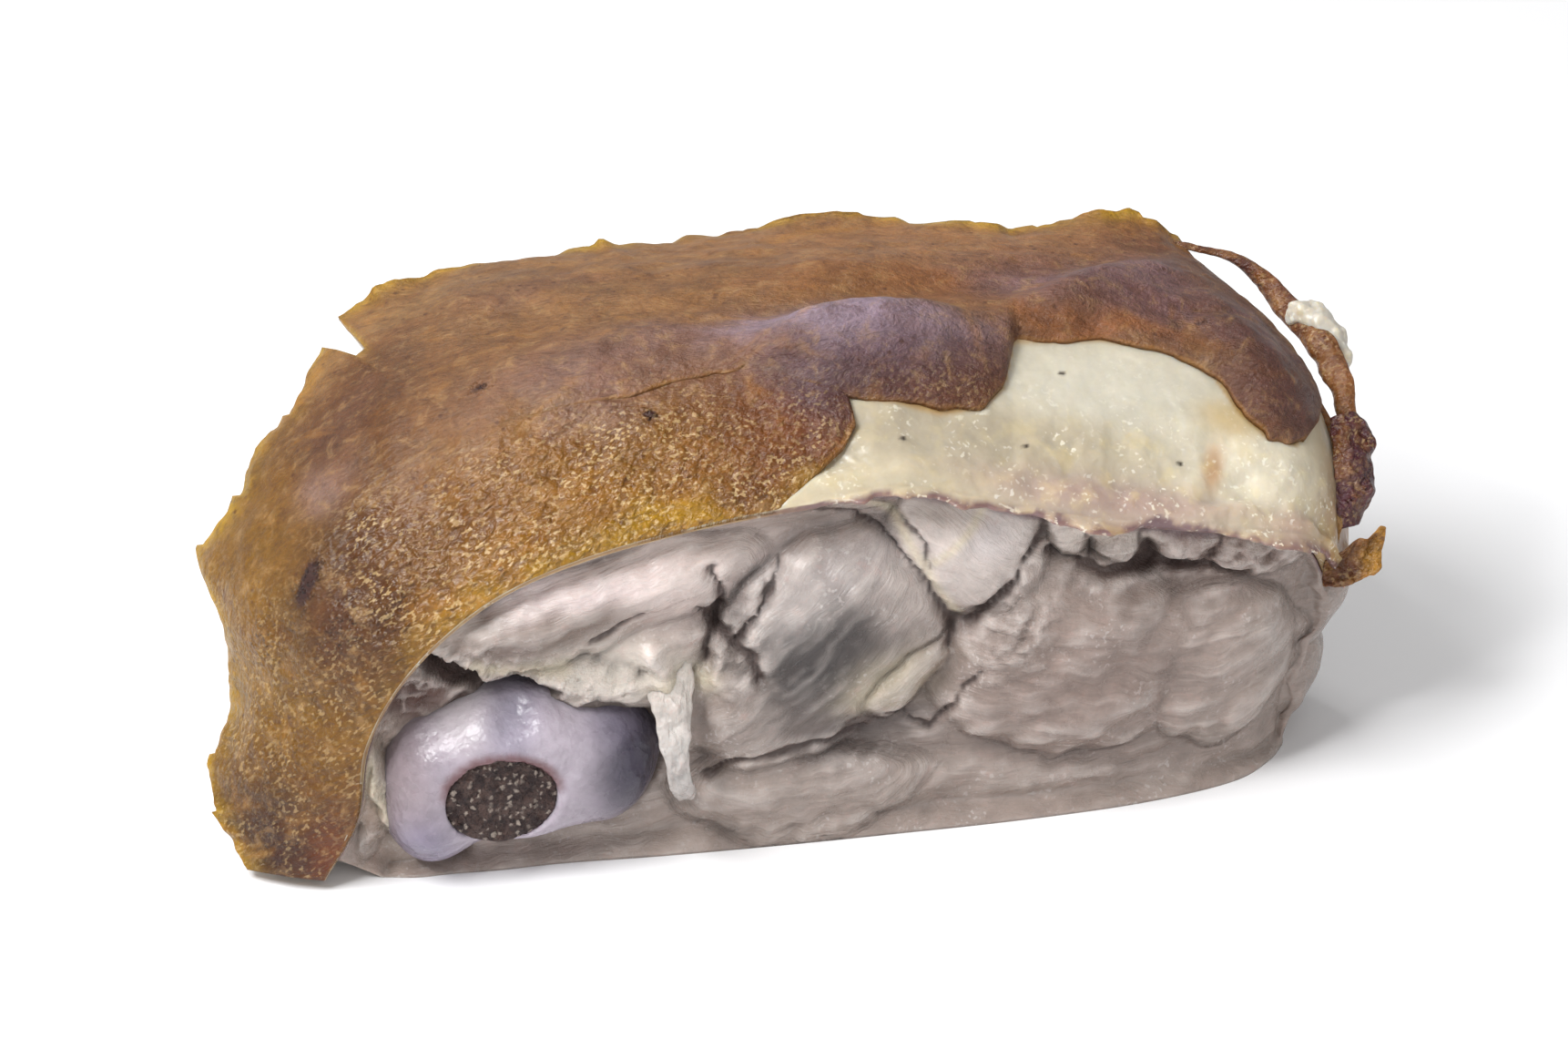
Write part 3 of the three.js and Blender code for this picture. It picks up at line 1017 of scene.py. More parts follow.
@dataclass(frozen=True)
class Roof:
    """The roof of crackling on its ribs, and the lines along which it is torn and chopped."""

    # front, back, crown, fat, where the meat meets the underside at the front and at the back
    ribs: tuple = (
        ((-69, -50, 2), (-81, -47, 2), 1, 1.2, (-61, -46), (-67, -41)),
        ((-64, -50.5, 13), (-87, -37, 10), 3, 1.4, (-59, -46), (-67, -31)),
        ((-62, -50, 26), (-86, -26, 22), 5, 1.6, (-55, -46), (-65, -20)),
        ((-55, -49, 38.5), (-90, -13, 37), 8, 1.8, (-50, -45), (-61, -8)),
        ((-44, -47, 48.5), (-82, 1, 49), 11, 2, (-43, -44), (-55, 6)),
        ((-31, -44, 54), (-71, 14, 60), 12, 2.3, (-33, -42), (-46, 18)),
        ((-14, -40, 57.5), (-52, 26, 66), 12, 2.8, (-18, -40), (-32, 27)),
        ((2, -36, 59), (-25, 33, 67), 12, 3.6, (0, -37), (-14, 32)),
        ((18, -32, 60), (5, 36, 68.5), 12, 4.6, (16, -34), (8, 34)),
        ((38, -28.5, 54), (33, 38, 67.5), 12, 5, (36, -30), (33, 35)),
        ((58, -25, 49.5), (55, 37, 67), 12, 5, (55, -25), (54, 33)),
        ((74, -21.5, 46), (71, 31, 59), 11, 4.5, (69, -19), (67, 26)),
        ((82, -17, 41), (82, 20, 46), 6, 3.5, (75, -13), (75, 16)),
        ((86, -11, 31), (86, 8, 32), 3, 2.5, (78, -7), (78, 6)),
    )
    crown_skew: float = 0.8  # how far the crown lies to the front
    skin: float = 2.0  # thickness of the skin, in millimetres
    gap: float = 0.3  # between fat and meat
    front_lip: tuple[float, float] = (0.03, 0.2)  # over which share it thins, and to which part
    back_lip: tuple[float, float] = (0.1, 0.45)
    roll_over: float = 0.08  # the share over which folds set in
    lowest: float = 0.05  # how far skin and fat stay off the floor
    lap_line: Pairs = ((5.2, 0.3), (6.07, 0.26), (7.03, 0.28), (7.38, 0.22), (7.85, 0.17), (8.3, 0.15))
    tear_line: Pairs = (
        (8.3, 0.15), (8.6, 0.18), (8.76, 0.24), (8.86, 0.37), (9.5, 0.41), (10, 0.4),
        (10.3, 0.35), (10.5, 0.26), (10.75, 0.21), (11.05, 0.22),
    )
    right_edge: Pairs = ((0.2, 11.05), (0.36, 11.3), (0.62, 11.55), (1.1, 11.75))  # share, rib
    tongue_end: Pairs = ((6.84, 0), (7.21, 0.04), (7.53, 0.08), (7.65, 0.12))
    chop_line: Pairs = (
        (0, 1), (1.35, 0.98), (2.6, 0.75), (3.07, 0.98), (3.45, 0.86), (3.95, 0.92), (4.4, 0.87),
        (4.93, 0.96), (4.98, 0.81), (5.08, 0.82), (5.2, 1.03), (7, 0.98), (7.9, 1.03), (9, 0.96),
        (10, 1.04), (10.5, 1.02), (10.9, 0.92), (13, 1),
    )
    edge_rise: Pairs = (  # how far the chopped edge curls up, by rib
        (4.4, 0), (5.2, -0.6), (5.42, -0.9), (5.5, 0.9), (5.68, 0.5), (6, -0.8), (6.3, -1.2), (6.62, -0.9),
        (6.82, 0.3), (6.86, 1.3), (6.95, -0.5), (7.25, -1.0), (7.33, 0.4), (7.5, -0.9), (7.7, -1.3),
        (7.84, 0.9), (8.1, 1.5), (8.42, 1.4), (8.5, 0.3), (8.75, 0.9), (8.98, 1.4), (9.08, 0), (9.26, -0.1),
        (9.4, 0.8), (9.72, 1.6), (9.85, 0.4), (10.15, 1.2), (10.3, -0.2), (10.5, -1.3), (11.1, -1.2),
    )
    tooth_pitch: float = 0.62
    tooth_height: tuple[float, float] = (0.05, 0.022)  # at the left and at the right
    tooth_lean: float = 1.6  # how much steeper a tooth is on one side
    tooth_shift: Layers = ((6, 17, 2, 0.9),)
    tooth_mix: Layers = ((7, 21, 1, 0.75),)  # how much the teeth differ in height
    splinters: Layers = ((9, 2.2, 3, 0.007),)  # of the edge between the teeth
    pitch: float = 15.0  # millimetres from rib to rib, nearly
    folds: tuple[Fold, ...] = Fold.rows(
        (7.9, 0.35, 0.85, 0.15, 0.07, 0.04, 5.2),
        (6.2, 0.36, 1, 0.1, 0.14, 0.02, 1.4),
        (9.4, 0.58, 0.75, 0.17, 0.085, 0.18, 3.6),
        (10.6, 0.52, 0.5, 0.2, 0.2, -0.1, 2.2),
        (8.2, 0.52, 1.0, 0.06, 0.1, 0.06, -1.0),
        (8.8, 0.62, 1, 0.12, 0.1, 0.14, -1.6),
        (3.2, 0.35, 0.7, 0.25, 0.3, 0, 1),
        (4.3, 0.2, 0.4, 0.16, 0.16, 0, -1.4),
        (5.6, 0.62, 1.2, 0.14, 0.14, 0.05, -1.2),
        (2.1, 0.4, 0.8, 0.3, 0.3, 0, -1.2),
    )
    lap_from: float = 5.2  # the rib where the upper sheet starts to stand off the tongue
    lap_full: float = 7.0
    lap_gone: float = 8.3
    lap_height: float = 1.8
    lap_fade: float = 0.25  # the share over which it comes down again

    def line(self, rib: Array, row: float = 0.0) -> Array:
        """Places along the roof in millimetres, in a row of their own, to read noise at."""
        return np.stack([rib * self.pitch, rib * 0, rib * 0 + row], -1)

    @property
    def last(self) -> int:
        """The number of the last rib."""
        return len(self.ribs) - 1

    def column(self, which: int, rib: Array) -> Array:
        """One size of the ribs, smoothly between them."""
        return spline([row[which] for row in self.ribs], rib / self.last)

    def face(self, rib: Array, share: Array) -> tuple[Array, Array]:
        """The even outer face of the crackling.

        Args:
            rib: The rib of each place.
            share: Its share over the roof.

        Returns:
            Its points and the outward normals there.
        """
        front, back = self.column(0, rib), self.column(1, rib)
        chord = back - front
        nudge = 0.001 * self.last
        ahead = self.column(0, rib + nudge) + self.column(1, rib + nudge)
        behind = self.column(0, rib - nudge) + self.column(1, rib - nudge)
        normal = unit(np.cross(ahead - behind, chord))
        crown = self.column(2, rib)[..., 0] * np.sin(np.pi * np.clip(share, 0, 1) ** self.crown_skew)
        return front + chord * share[..., None] + normal * crown[..., None], normal

    def reach(self, rib: Array) -> Array:
        """How long the way over the roof is at a rib, in millimetres."""
        return np.linalg.norm(self.column(1, rib) - self.column(0, rib), axis=-1) * 1.05

    def thickness(self, rib: Array, share: Array) -> Array:
        """How thick crackling and fat are together.

        Args:
            rib: The rib of each place.
            share: Its share over the roof.

        Returns:
            The thickness in millimetres.
        """
        front = 1 - (1 - self.front_lip[1]) * np.exp(-np.maximum(share, 0) / self.front_lip[0])
        back = 1 - (1 - self.back_lip[1]) * smooth((share - 1 + self.back_lip[0]) / self.back_lip[0])
        return (self.skin + self.column(3, rib)[..., 0]) * front * back

    def room(self, rib: Array, share: Array) -> Array:
        """How thick the skin may be there at most, so that some fat is left."""
        return 0.12 + self.thickness(rib, share) * 0.75

    def to_right(self, rib: Array, share: Array) -> Array:
        """How many millimetres it is to the upper sheet's right edge, nearly."""
        return (polyline(self.right_edge, share) - rib) * 14

    def chop(self, rib: Array) -> Array:
        """Finds the chopped back edge.

        Args:
            rib: The rib of each place.

        Returns:
            The share that the edge reaches there.
        """
        line = self.line(rib)
        phase = rib / self.tooth_pitch + layered(line, self.tooth_shift)
        height = mix(*self.tooth_height, smooth((rib - 3.5) / 2.5))
        height = height * (0.55 + layered(line, self.tooth_mix))
        teeth = height * ((phase % 1) ** self.tooth_lean - 0.45)
        return polyline(self.chop_line, rib) + teeth + layered(line, self.splinters)

    def fold_lift(self, rib: Array, share: Array) -> Array:
        """How much all folds lift the crackling."""
        lift = sum(fold.lift(rib, share) for fold in self.folds)
        return lift * smooth(share / self.roll_over)

    def lap_lift(self, rib: Array, share: Array) -> Array:
        """How far the upper sheet stands off the tongue below it.

        Args:
            rib: The rib of each place.
            share: Its share over the roof.

        Returns:
            The lift in millimetres.
        """
        past = share - polyline(self.lap_line, rib)
        rise = smooth((rib - self.lap_from) / (self.lap_full - self.lap_from))
        along = rise * smooth((self.lap_gone - rib) / 0.5)
        return along * self.lap_height * (1 - smooth(past / self.lap_fade))


# ---- crackling


Surface = tuple[Array, Array, dict[str, Array]]  # outer points, inner points, paints by name


@dataclass
class Crackling:
    """The roasted skin: the band above the cut with its tongue, and the upper sheet over it."""

    roof: Roof
    band_columns: tuple[int, int] = (168, 92)  # up to the lap, and along the tongue
    sheet_columns: int = 150  # right of the tongue
    band_rows: int = 36
    sheet_rows: int = 82
    crowding: tuple[float, float] = (1.25, 1.12)  # how much the rows of both crowd at their front
    tuck: float = 0.055  # how far the band runs on under the sheet
    torn: Layers = ((10, 9, 3, 0.013), (18, 2.4, 2, 0.005))  # how far the sheet's front wanders
    lumps: Layers = ((3, 13, 2, 0.6), (4, 4.6, 2, 0.24))
    crisp: Layers = ((17, 3.4, 3, 0.7),)  # how the chopped edge curls
    squeeze_from: float = 10.0  # the rib from which its columns are drawn to the right edge
    edge_sink: float = 3.4  # how far from an edge the sheet comes down on what is under it
    edge_left: float = 0.36  # how much of the skin's thickness is left at a free edge
    # the mauve on the lobes (ribs 7.9 to 10.9) is partly their colour, partly painted reflection, with
    # painted shade on their lower fronts; the lavender at ribs 7.75, 9.5 and 3.9 is painted sheen
    patches: tuple[Patch, ...] = Patch.rows(
        (6, 0.8, 3.2, 0.45, 138, 100, 66, 0.9), (4.2, 0.62, 1.3, 0.3, 98, 64, 40, 0.88),
        (8.7, 0.86, 1.5, 0.24, 158, 112, 74, 0.85), (10.4, 0.95, 0.7, 0.14, 126, 84, 62, 0.8),
        (2.4, 0.45, 1.5, 0.7, 132, 96, 30, 0.95), (2.0, 0.75, 0.9, 0.3, 138, 100, 36, 0.75),
        (1.3, 0.35, 0.5, 0.4, 122, 86, 26, 0.85), (3.4, 0.15, 1.0, 0.28, 66, 38, 16, 0.92),
        (5.3, 0.15, 1.8, 0.17, 136, 94, 50, 0.95), (5.0, 0.05, 1.6, 0.09, 148, 102, 36, 0.85),
        (5.4, 0.0, 2.4, 0.045, 178, 136, 44, 0.8), (7.2, 0.14, 0.75, 0.13, 120, 72, 24, 0.95),
        (7.55, 0.02, 0.6, 0.05, 186, 150, 74, 0.6), (0.3, 0.6, 1.0, 0.8, 60, 36, 28, 0.92),
        (0.4, 0.05, 0.7, 0.2, 108, 60, 40, 0.85), (8.6, 0.56, 1.2, 0.1, 152, 102, 66, 0.85),
        (7.9, 0.27, 1.15, 0.13, 98, 74, 78, 0.97), (6.3, 0.36, 1.1, 0.12, 128, 96, 86, 0.85),
        (7.75, 0.36, 0.85, 0.07, 160, 140, 154, 0.92), (8.3, 0.2, 0.6, 0.05, 96, 62, 52, 0.7),
        (9.7, 0.6, 1.1, 0.2, 116, 86, 86, 0.97), (10.9, 0.45, 0.7, 0.4, 98, 68, 64, 0.95),
        (9.5, 0.64, 0.7, 0.06, 138, 108, 108, 0.7), (10.9, 0.6, 0.3, 0.12, 128, 98, 98, 0.6),
        (10.2, 0.86, 0.6, 0.08, 108, 74, 60, 0.8), (9.4, 0.44, 0.9, 0.03, 150, 96, 58, 0.7),
        (3.9, 0.5, 0.35, 0.09, 158, 132, 126, 0.5), (5.83, 0.24, 0.4, 0.05, 150, 118, 104, 0.4),
        (4.3, 0.62, 0.4, 0.08, 104, 76, 66, 0.5), (6.3, 0.75, 0.6, 0.05, 118, 86, 74, 0.45),
        (5.2, 0.86, 0.9, 0.06, 164, 126, 84, 0.5),
    )
    leathery: Spots = ((7.8, 0.3, 1.4, 0.2, 1), (9.7, 0.58, 1.3, 0.24, 1), (10.9, 0.4, 0.8, 0.4, 1))
    glinting: Spots = ((3.95, 0.27, 0.5, 0.12, 1),)
    burnt: Spots = (
        (3.26, 0.36, 0.26, 0.034, 1), (3.43, 0.11, 0.26, 0.05, 0.5), (3.8, 0.16, 0.12, 0.03, 0.3),
        (6.14, 0.21, 0.07, 0.015, 0.9), (3, 0.2, 0.25, 0.06, 0.5), (2.7, 0.5, 0.22, 0.08, 0.5),
        (5.3, 0.42, 0.12, 0.02, 0.7), (8.15, 0.38, 0.06, 0.014, 0.7), (10.2, 0.5, 0.05, 0.012, 0.7),
        (10.75, 0.62, 0.06, 0.014, 0.7), (1.6, 0.4, 0.2, 0.12, 0.4),
    )
    ground: Rgb = seen(134, 94, 58)
    # the thin chopped edge's golden colour, partly a painted glow of light through the thin skin
    gold_and_glow: Rgb = seen(190, 150, 52)

    def columns(self) -> Array:
        """Spaces the columns.

        Returns:
            The rib of each column at the front of the sheet.
        """
        left, middle = self.band_columns
        roof = self.roof
        tongue = roof.tongue_end[-1][0]
        parts = [
            np.linspace(0, roof.lap_from, left + 1),
            np.linspace(roof.lap_from, tongue, middle + 1)[1:],
            np.linspace(tongue, roof.right_edge[-1][1], self.sheet_columns + 1)[1:],
        ]
        return np.concatenate(parts)

    def band_grid(self, ribs: Array) -> tuple[Array, Array]:
        """Lays out the band, from the front cut to a little under the upper sheet.

        Args:
            ribs: The rib of each column.

        Returns:
            The rib and the share of each point.
        """
        start = polyline(self.roof.tongue_end, ribs)
        under = self.tuck * smooth((ribs - self.roof.lap_from) / 0.4)
        end = polyline(self.roof.lap_line, ribs) + under
        t = np.linspace(0, 1, self.band_rows + 1) ** self.crowding[0]
        share = mix(start[:, None], end[:, None], t)
        round_off = 0.1 * (1 - ((share - 0.15) / 0.15) ** 2)
        rib = ribs[:, None] + smooth((ribs[:, None] - 6.9) / 0.75) * (round_off - 0.05)
        return rib, share

    def sheet_grid(self, ribs: Array) -> tuple[Array, Array]:
        """Lays out the upper sheet, from the lap and the tear to the chopped edge.

        Args:
            ribs: The rib of each column at the sheet's front.

        Returns:
            The rib and the share of each point.
        """
        roof = self.roof
        straight, right = self.squeeze_from, roof.right_edge[-1][1]
        squeezed = np.maximum(ribs - straight, 0) / (right - straight)
        nominal = np.where(ribs > straight, mix(straight, roof.tear_line[-1][0], squeezed), ribs)
        jitter = layered(roof.line(ribs, 9), self.torn)
        lap, tear = polyline(roof.lap_line, nominal), polyline(roof.tear_line, nominal)
        start = np.where(nominal < roof.lap_gone, lap, tear)
        start = start + jitter * smooth((ribs - 5.6) / 1.5)
        corner = smooth((squeezed - 0.86) / 0.14) * 0.035
        t = np.linspace(0, 1, self.sheet_rows + 1) ** self.crowding[1]
        share = mix((start + corner)[:, None], roof.chop(ribs)[:, None], t)
        pulled = straight + squeezed[:, None] * (polyline(roof.right_edge, share) - straight)
        return np.where(squeezed[:, None] > 0, pulled, ribs[:, None]), share

    def build(self, finish: bpy.types.Material) -> bpy.types.Object:
        """Builds the skin.

        Args:
            finish: The skin's material.

        Returns:
            The skin.
        """
        roof, ribs = self.roof, self.columns()
        on_band = ribs <= roof.tongue_end[-1][0] + 1e-9
        welded = ribs <= roof.lap_from + 1e-9
        band_rib, band_share = self.band_grid(ribs[on_band])
        sheet_rib, sheet_share = self.sheet_grid(ribs)
        band_index = np.arange(band_rib.size).reshape(band_rib.shape)
        sheet_index = band_rib.size + np.arange(sheet_rib.size).reshape(sheet_rib.shape)
        sheet_index[: welded.sum(), 0] = band_index[: welded.sum(), -1]
        outer_b, inner_b, paint_b = self.band_surface(band_rib, band_share)
        outer_s, inner_s, paint_s = self.sheet_surface(sheet_rib, sheet_share, ribs)
        outer, inner = np.vstack([outer_b, outer_s]), np.vstack([inner_b, inner_s])
        quads = np.vstack([quads_of(band_index), quads_of(sheet_index)])
        used, quads = np.unique(quads, return_inverse=True)
        quads = quads.reshape(-1, 4)
        points, faces = thickened(outer[used], inner[used], quads)
        points[:, 2] = np.maximum(points[:, 2], roof.lowest)
        paints = {k: np.concatenate([paint_b[k], paint_s[k]])[used] for k in paint_b}
        paints = {k: np.concatenate([v, v]) for k, v in paints.items()}
        stands_for = ("crackling_and_fat",)
        return Piece("crackling_skin", points, faces, finish, "crackling", paints, stands_for).make()

    def band_surface(self, rib: Array, share: Array) -> Surface:
        """Finds the band's free edges and lifts it.

        Args:
            rib: The rib of each place.
            share: Its share over the roof.

        Returns:
            The outer points, the inner points, and the paints by name.
        """
        roof = self.roof
        length = roof.reach(rib)
        to_front = (share - polyline(roof.tongue_end, rib)) * length
        to_end = (roof.tongue_end[-1][0] + 0.05 - rib) * roof.pitch
        edge = np.minimum(to_front, np.where(rib > 6.2, to_end, np.inf))
        rest = -(roof.skin - 1.0) * smooth((rib - 6.7) / 0.4)
        lift = roof.fold_lift(rib, share)
        lift = mix(rest * 0.6, lift, 1 - np.exp(-np.maximum(edge, 0) / 1.5))
        return self.surface(rib, share, lift, edge)

    def sheet_surface(self, rib: Array, share: Array, ribs: Array) -> Surface:
        """Finds the upper sheet's free edges and lifts it.

        Args:
            rib: The rib of each place.
            share: Its share over the roof.
            ribs: The rib of each column at the sheet's front.

        Returns:
            The outer points, the inner points, and the paints by name.
        """
        roof = self.roof
        length = roof.reach(rib)
        free = smooth((ribs - roof.lap_from) / 0.8)[:, None]
        to_front = (share - share[:, :1]) * length
        to_back = (share[:, -1:] - share) * length
        to_right = np.where(rib > 9, roof.to_right(rib, share), np.inf)
        front_edge = np.minimum(to_front, to_right)
        edge = np.minimum(np.where(free > 0, front_edge / np.maximum(free, 1e-3), np.inf), to_back)
        lift = roof.fold_lift(rib, share) + roof.lap_lift(rib, share)
        rest = mix(0.0, -roof.skin, smooth((rib - 7.45) / 0.4)) + 0.2 + roof.skin * self.edge_left
        down = np.exp(-np.maximum(front_edge, 0) / self.edge_sink) * free
        lift = mix(lift, rest, down)
        crisp = polyline(roof.edge_rise, rib) + layered(roof.line(rib, 70), self.crisp)
        lift = lift + crisp * np.exp(-np.maximum(to_back, 0) / 4)
        return self.surface(rib, share, lift, edge)

    def surface(self, rib: Array, share: Array, lift: Array, edge: Array) -> Surface:
        """Lifts the roof's face into a sheet and paints it.

        Args:
            rib: The rib of each place.
            share: Its share over the roof.
            lift: How far the sheet's outer side stands off the even face.
            edge: The distance to the nearest free edge.

        Returns:
            The outer points, the inner points, and the paints by name.
        """
        roof = self.roof
        point, normal = roof.face(rib, share)
        mauve = self.fold_mask(rib, share)
        calm = smooth(np.maximum(edge, 0) / 3)
        lumps = layered(point, self.lumps)
        wrinkles = Lumps(5).at(point, (10, 2.6, 2.6), 2) * 0.28 * (0.3 + mauve)
        lift = lift + (lumps + wrinkles) * (0.25 + 0.75 * calm) * smooth(share / 0.05)
        thick = roof.skin * mix(self.edge_left, 1, smooth(np.maximum(edge, 0) / 3.5))
        thick = np.minimum(thick, roof.room(rib, share))
        outer = point + normal * lift[..., None]
        inner = outer - normal * thick[..., None]
        paints = {
            "tint": self.tint(rib, share, point).reshape(-1, 3),
            "wet": self.wetness(rib, share).ravel(),
            "wrinkled": mauve.ravel(),
            "rim": bell(np.maximum(edge, 0) / 0.7).ravel(),
            "char": self.char(rib, share).ravel(),
        }
        return outer.reshape(-1, 3), inner.reshape(-1, 3), paints

    def fold_mask(self, rib: Array, share: Array) -> Array:
        """How leathery and wrinkled the skin is, most on the folds over the tear."""
        return spotted(self.leathery, rib, share)

    def wetness(self, rib: Array, share: Array) -> Array:
        """How greasy the skin is, most in the band above the cut and down the left side.

        Args:
            rib: The rib of each place.
            share: Its share over the roof.

        Returns:
            The wetness, from nearly 0 to 1.
        """
        band = smooth((0.36 - share) / 0.2) * smooth((rib - 2.4) / 1.2)
        wall = 0.55 * smooth((3.4 - rib) / 0.8)
        wet = np.maximum(np.maximum(band, wall), spotted(self.glinting, rib, share))
        return np.clip(wet * (1 - 0.9 * self.fold_mask(rib, share)), 0.03, 1)

    def char(self, rib: Array, share: Array) -> Array:
        """Where the skin is burnt: a blister, a few pits and small marks."""
        return spotted(self.burnt, rib, share)

    def tint(self, rib: Array, share: Array, point: Array) -> Array:
        """The skin's ground colour, golden where the roof's chopped edge is thin, partly as a painted glow
        of light through it.

        Args:
            rib: The rib of each place.
            share: Its share over the roof.
            point: The place itself.

        Returns:
            A linear colour for each place.
        """
        wander = Lumps(12).at(point, 12, 3)
        colour = painted(self.ground, self.patches, rib + wander * 0.22, share + wander * 0.05)
        ragged = Lumps(8).at(point, 6, 3)
        to_back = (self.roof.chop(rib) - share) * self.roof.reach(rib)
        reach = mix(2.6, 1.6, smooth((rib - 3) / 3))
        thin = np.exp(-np.maximum(to_back, 0) / reach) * (0.8 + 0.7 * ragged)
        return stained(colour, (self.gold_and_glow, np.clip(thin, 0, 0.9)))


# ---- fat


@dataclass
class Fat:
    """The fat under the skin, bare in the torn window and round at its lower edge."""

    roof: Roof
    columns: tuple[int, int] = (70, 250)  # left and right of the torn window's left end
    rows: tuple[int, int] = (96, 34)  # in front of the window's back and behind it
    layers: int = 4  # cells through it
    window_from: float = 6.6  # the rib where the torn window starts, nearly
    window_back: float = 0.45  # and its share
    torn: Layers = ((14, 9, 2, 0.016), (15, 2.6, 3, 0.005))  # how far its lower edge wanders
    patches: tuple[Patch, ...] = Patch.rows(
        (9.6, 0.28, 1.2, 0.16, 208, 203, 188, 0.85), (8.2, 0.12, 1.0, 0.08, 178, 167, 148, 0.8),
        (9.2, 0.13, 0.9, 0.07, 186, 173, 150, 0.7), (9.6, 0.035, 1.1, 0.05, 180, 154, 146, 0.85),
        (11.3, 0.02, 0.5, 0.05, 190, 160, 148, 0.7), (10.8, 0.14, 0.9, 0.09, 228, 219, 198, 0.8),
        (10.32, 0.13, 0.09, 0.05, 186, 136, 84, 0.7), (10.45, 0.25, 0.3, 0.05, 200, 170, 110, 0.6),
        (11.7, 0.08, 0.3, 0.1, 220, 204, 172, 0.8), (12.65, 0.4, 1.0, 1.2, 150, 104, 56, 0.97),
        (12.3, 0.02, 0.5, 0.06, 206, 182, 138, 0.6),
    )
    lip_noise: Layers = ((16, 3, 3, 0.8),)
    specked: Pairs = ((9.2, 0.31), (8.03, 0.09), (10.05, 0.13), (8.9, 0.12))  # where, rib and share
    sag: Spots = ((11.35, 0.02, 0.35, 0.06, 0.9),)  # where it hangs over the cut, in millimetres
    lip: tuple[Rgb, Rgb] = (seen(150, 116, 80), seen(118, 92, 98))  # its lower edge, left and right
    ground: Rgb = seen(208, 196, 170)
    stain: Rgb = seen(186, 142, 76)

    def build(self, finish: bpy.types.Material) -> bpy.types.Object:
        """Builds the fat.

        Args:
            finish: The fat's material.

        Returns:
            The fat.
        """
        roof = self.roof
        left, right = self.columns
        ribs = self.spaced(self.window_from, roof.last, left, right)
        near, far = self.rows
        shares = self.spaced(self.window_back, 1, near, far)
        lattice, faces = block_faces(len(ribs) - 1, len(shares) - 1, self.layers)
        rib, t, w = ribs[lattice[:, 0]], shares[lattice[:, 1]], lattice[:, 2] / self.layers
        back = np.minimum(roof.chop(rib) - 0.035, 1.0)
        share = mix(t, t * back, smooth((t - 0.3) / 0.5))
        torn = layered(roof.line(rib, 40), self.torn)
        share = share + np.maximum(torn, -0.01) * np.exp(-share / 0.03) * smooth((rib - 6.8) / 0.8)
        point, normal = roof.face(rib, share)
        cover = self.cover(rib, share)
        bare = -roof.skin * smooth(share / roof.roll_over)
        skin = np.minimum(roof.skin, roof.room(rib, share))
        outer = mix(bare, roof.fold_lift(rib, share) * 0.7 - skin - 0.1, cover)
        beaded = self.beaded(rib, share)
        knobs = Lumps(11).at(point, 4.2, 2) * 0.45 * (0.2 + 0.8 * beaded) * (1 - cover)
        knobs = knobs + Lumps(13).at(point, 8, 2) * 0.9 * (1 - cover) * smooth((0.3 - share) / 0.2)
        sag = spotted(self.sag, rib, share)
        outer = outer + knobs * smooth(share / 0.02) + sag * (1 - cover)
        inner = -roof.thickness(rib, share)
        outer = np.maximum(outer, inner + 0.15)
        depth = mix(outer, inner, w)
        round_off = 1.6 * np.sin(np.pi * np.clip(w, 0, 1)) * np.exp(-share / 0.012) * smooth((rib - 7) / 1)
        points = point + normal * depth[:, None]
        points[:, 1] -= round_off
        points[:, 2] = np.maximum(points[:, 2], roof.lowest)
        colour = self.tint(rib, share, cover)
        low = w * self.layers - 0.4 + layered(points, self.lip_noise)
        lip = smooth(low / 0.8) * (lattice[:, 1] == 0)
        lined = stained(self.lip[0], (self.lip[1], smooth((rib - 6.4) / 0.8)))
        colour = stained(colour, (lined, 0.9 * lip))
        paints = {"tint": colour, "beaded": beaded * (1 - cover), "speck": self.specks(rib, share)}
        return Piece("fat_layer", points, faces, finish, "crackling", paints).make()

    @staticmethod
    def spaced(middle: float, end: float, before: int, after: int) -> Array:
        """Spaces columns or rows from 0 to an end, in two steps of their own.

        Args:
            middle: Where the second step starts.
            end: Where they end.
            before: How many cells lie before the middle.
            after: How many lie after it.

        Returns:
            The place of each.
        """
        return np.concatenate([np.linspace(0, middle, before + 1), np.linspace(middle, end, after + 1)[1:]])

    def cover(self, rib: Array, share: Array) -> Array:
        """Finds where the skin lies over the fat.

        Args:
            rib: The rib of each place.
            share: Its share over the roof.

        Returns:
            1 under the skin, 0 where the fat is bare.
        """
        roof = self.roof
        tongue, tear = polyline(roof.tongue_end, rib), polyline(roof.tear_line, rib)
        start = np.where(rib < roof.lap_gone, tongue, tear)
        start = np.where((rib > 7.65) & (rib < roof.lap_gone), polyline(roof.lap_line, rib), start)
        front = (share - start) * roof.reach(rib)
        return smooth((np.minimum(front, roof.to_right(rib, share)) + 0.5) / 2.5)

    def beaded(self, rib: Array, share: Array) -> Array:
        """Where the fat is beaded with grease: the lower two thirds of the window."""
        return smooth((0.27 - share) / 0.12) * (0.55 + 0.45 * smooth((rib - 8.5) / 1))

    def specks(self, rib: Array, share: Array) -> Array:
        """Scatters a few dark specks.

        Args:
            rib: The rib of each place.
            share: Its share over the roof.

        Returns:
            1 in a speck, 0 away from them.
        """
        near = [np.hypot((rib - a) * 18, (share - b) * 85) for a, b in self.specked]
        return smooth((0.6 - np.minimum.reduce(near)) / 0.35)

    def tint(self, rib: Array, share: Array, cover: Array) -> Array:
        """The fat's ground colour, stained by the skin along the tear.

        Args:
            rib: The rib of each place.
            share: Its share over the roof.
            cover: 1 under the skin, 0 where the fat is bare.

        Returns:
            A linear colour for each place.
        """
        colour = painted(self.ground, self.patches, rib, share)
        stain = smooth(cover * 1.6) * 0.75 * smooth((1.02 - share) / 0.1)
        return stained(colour, (self.stain, stain))


# ---- meat


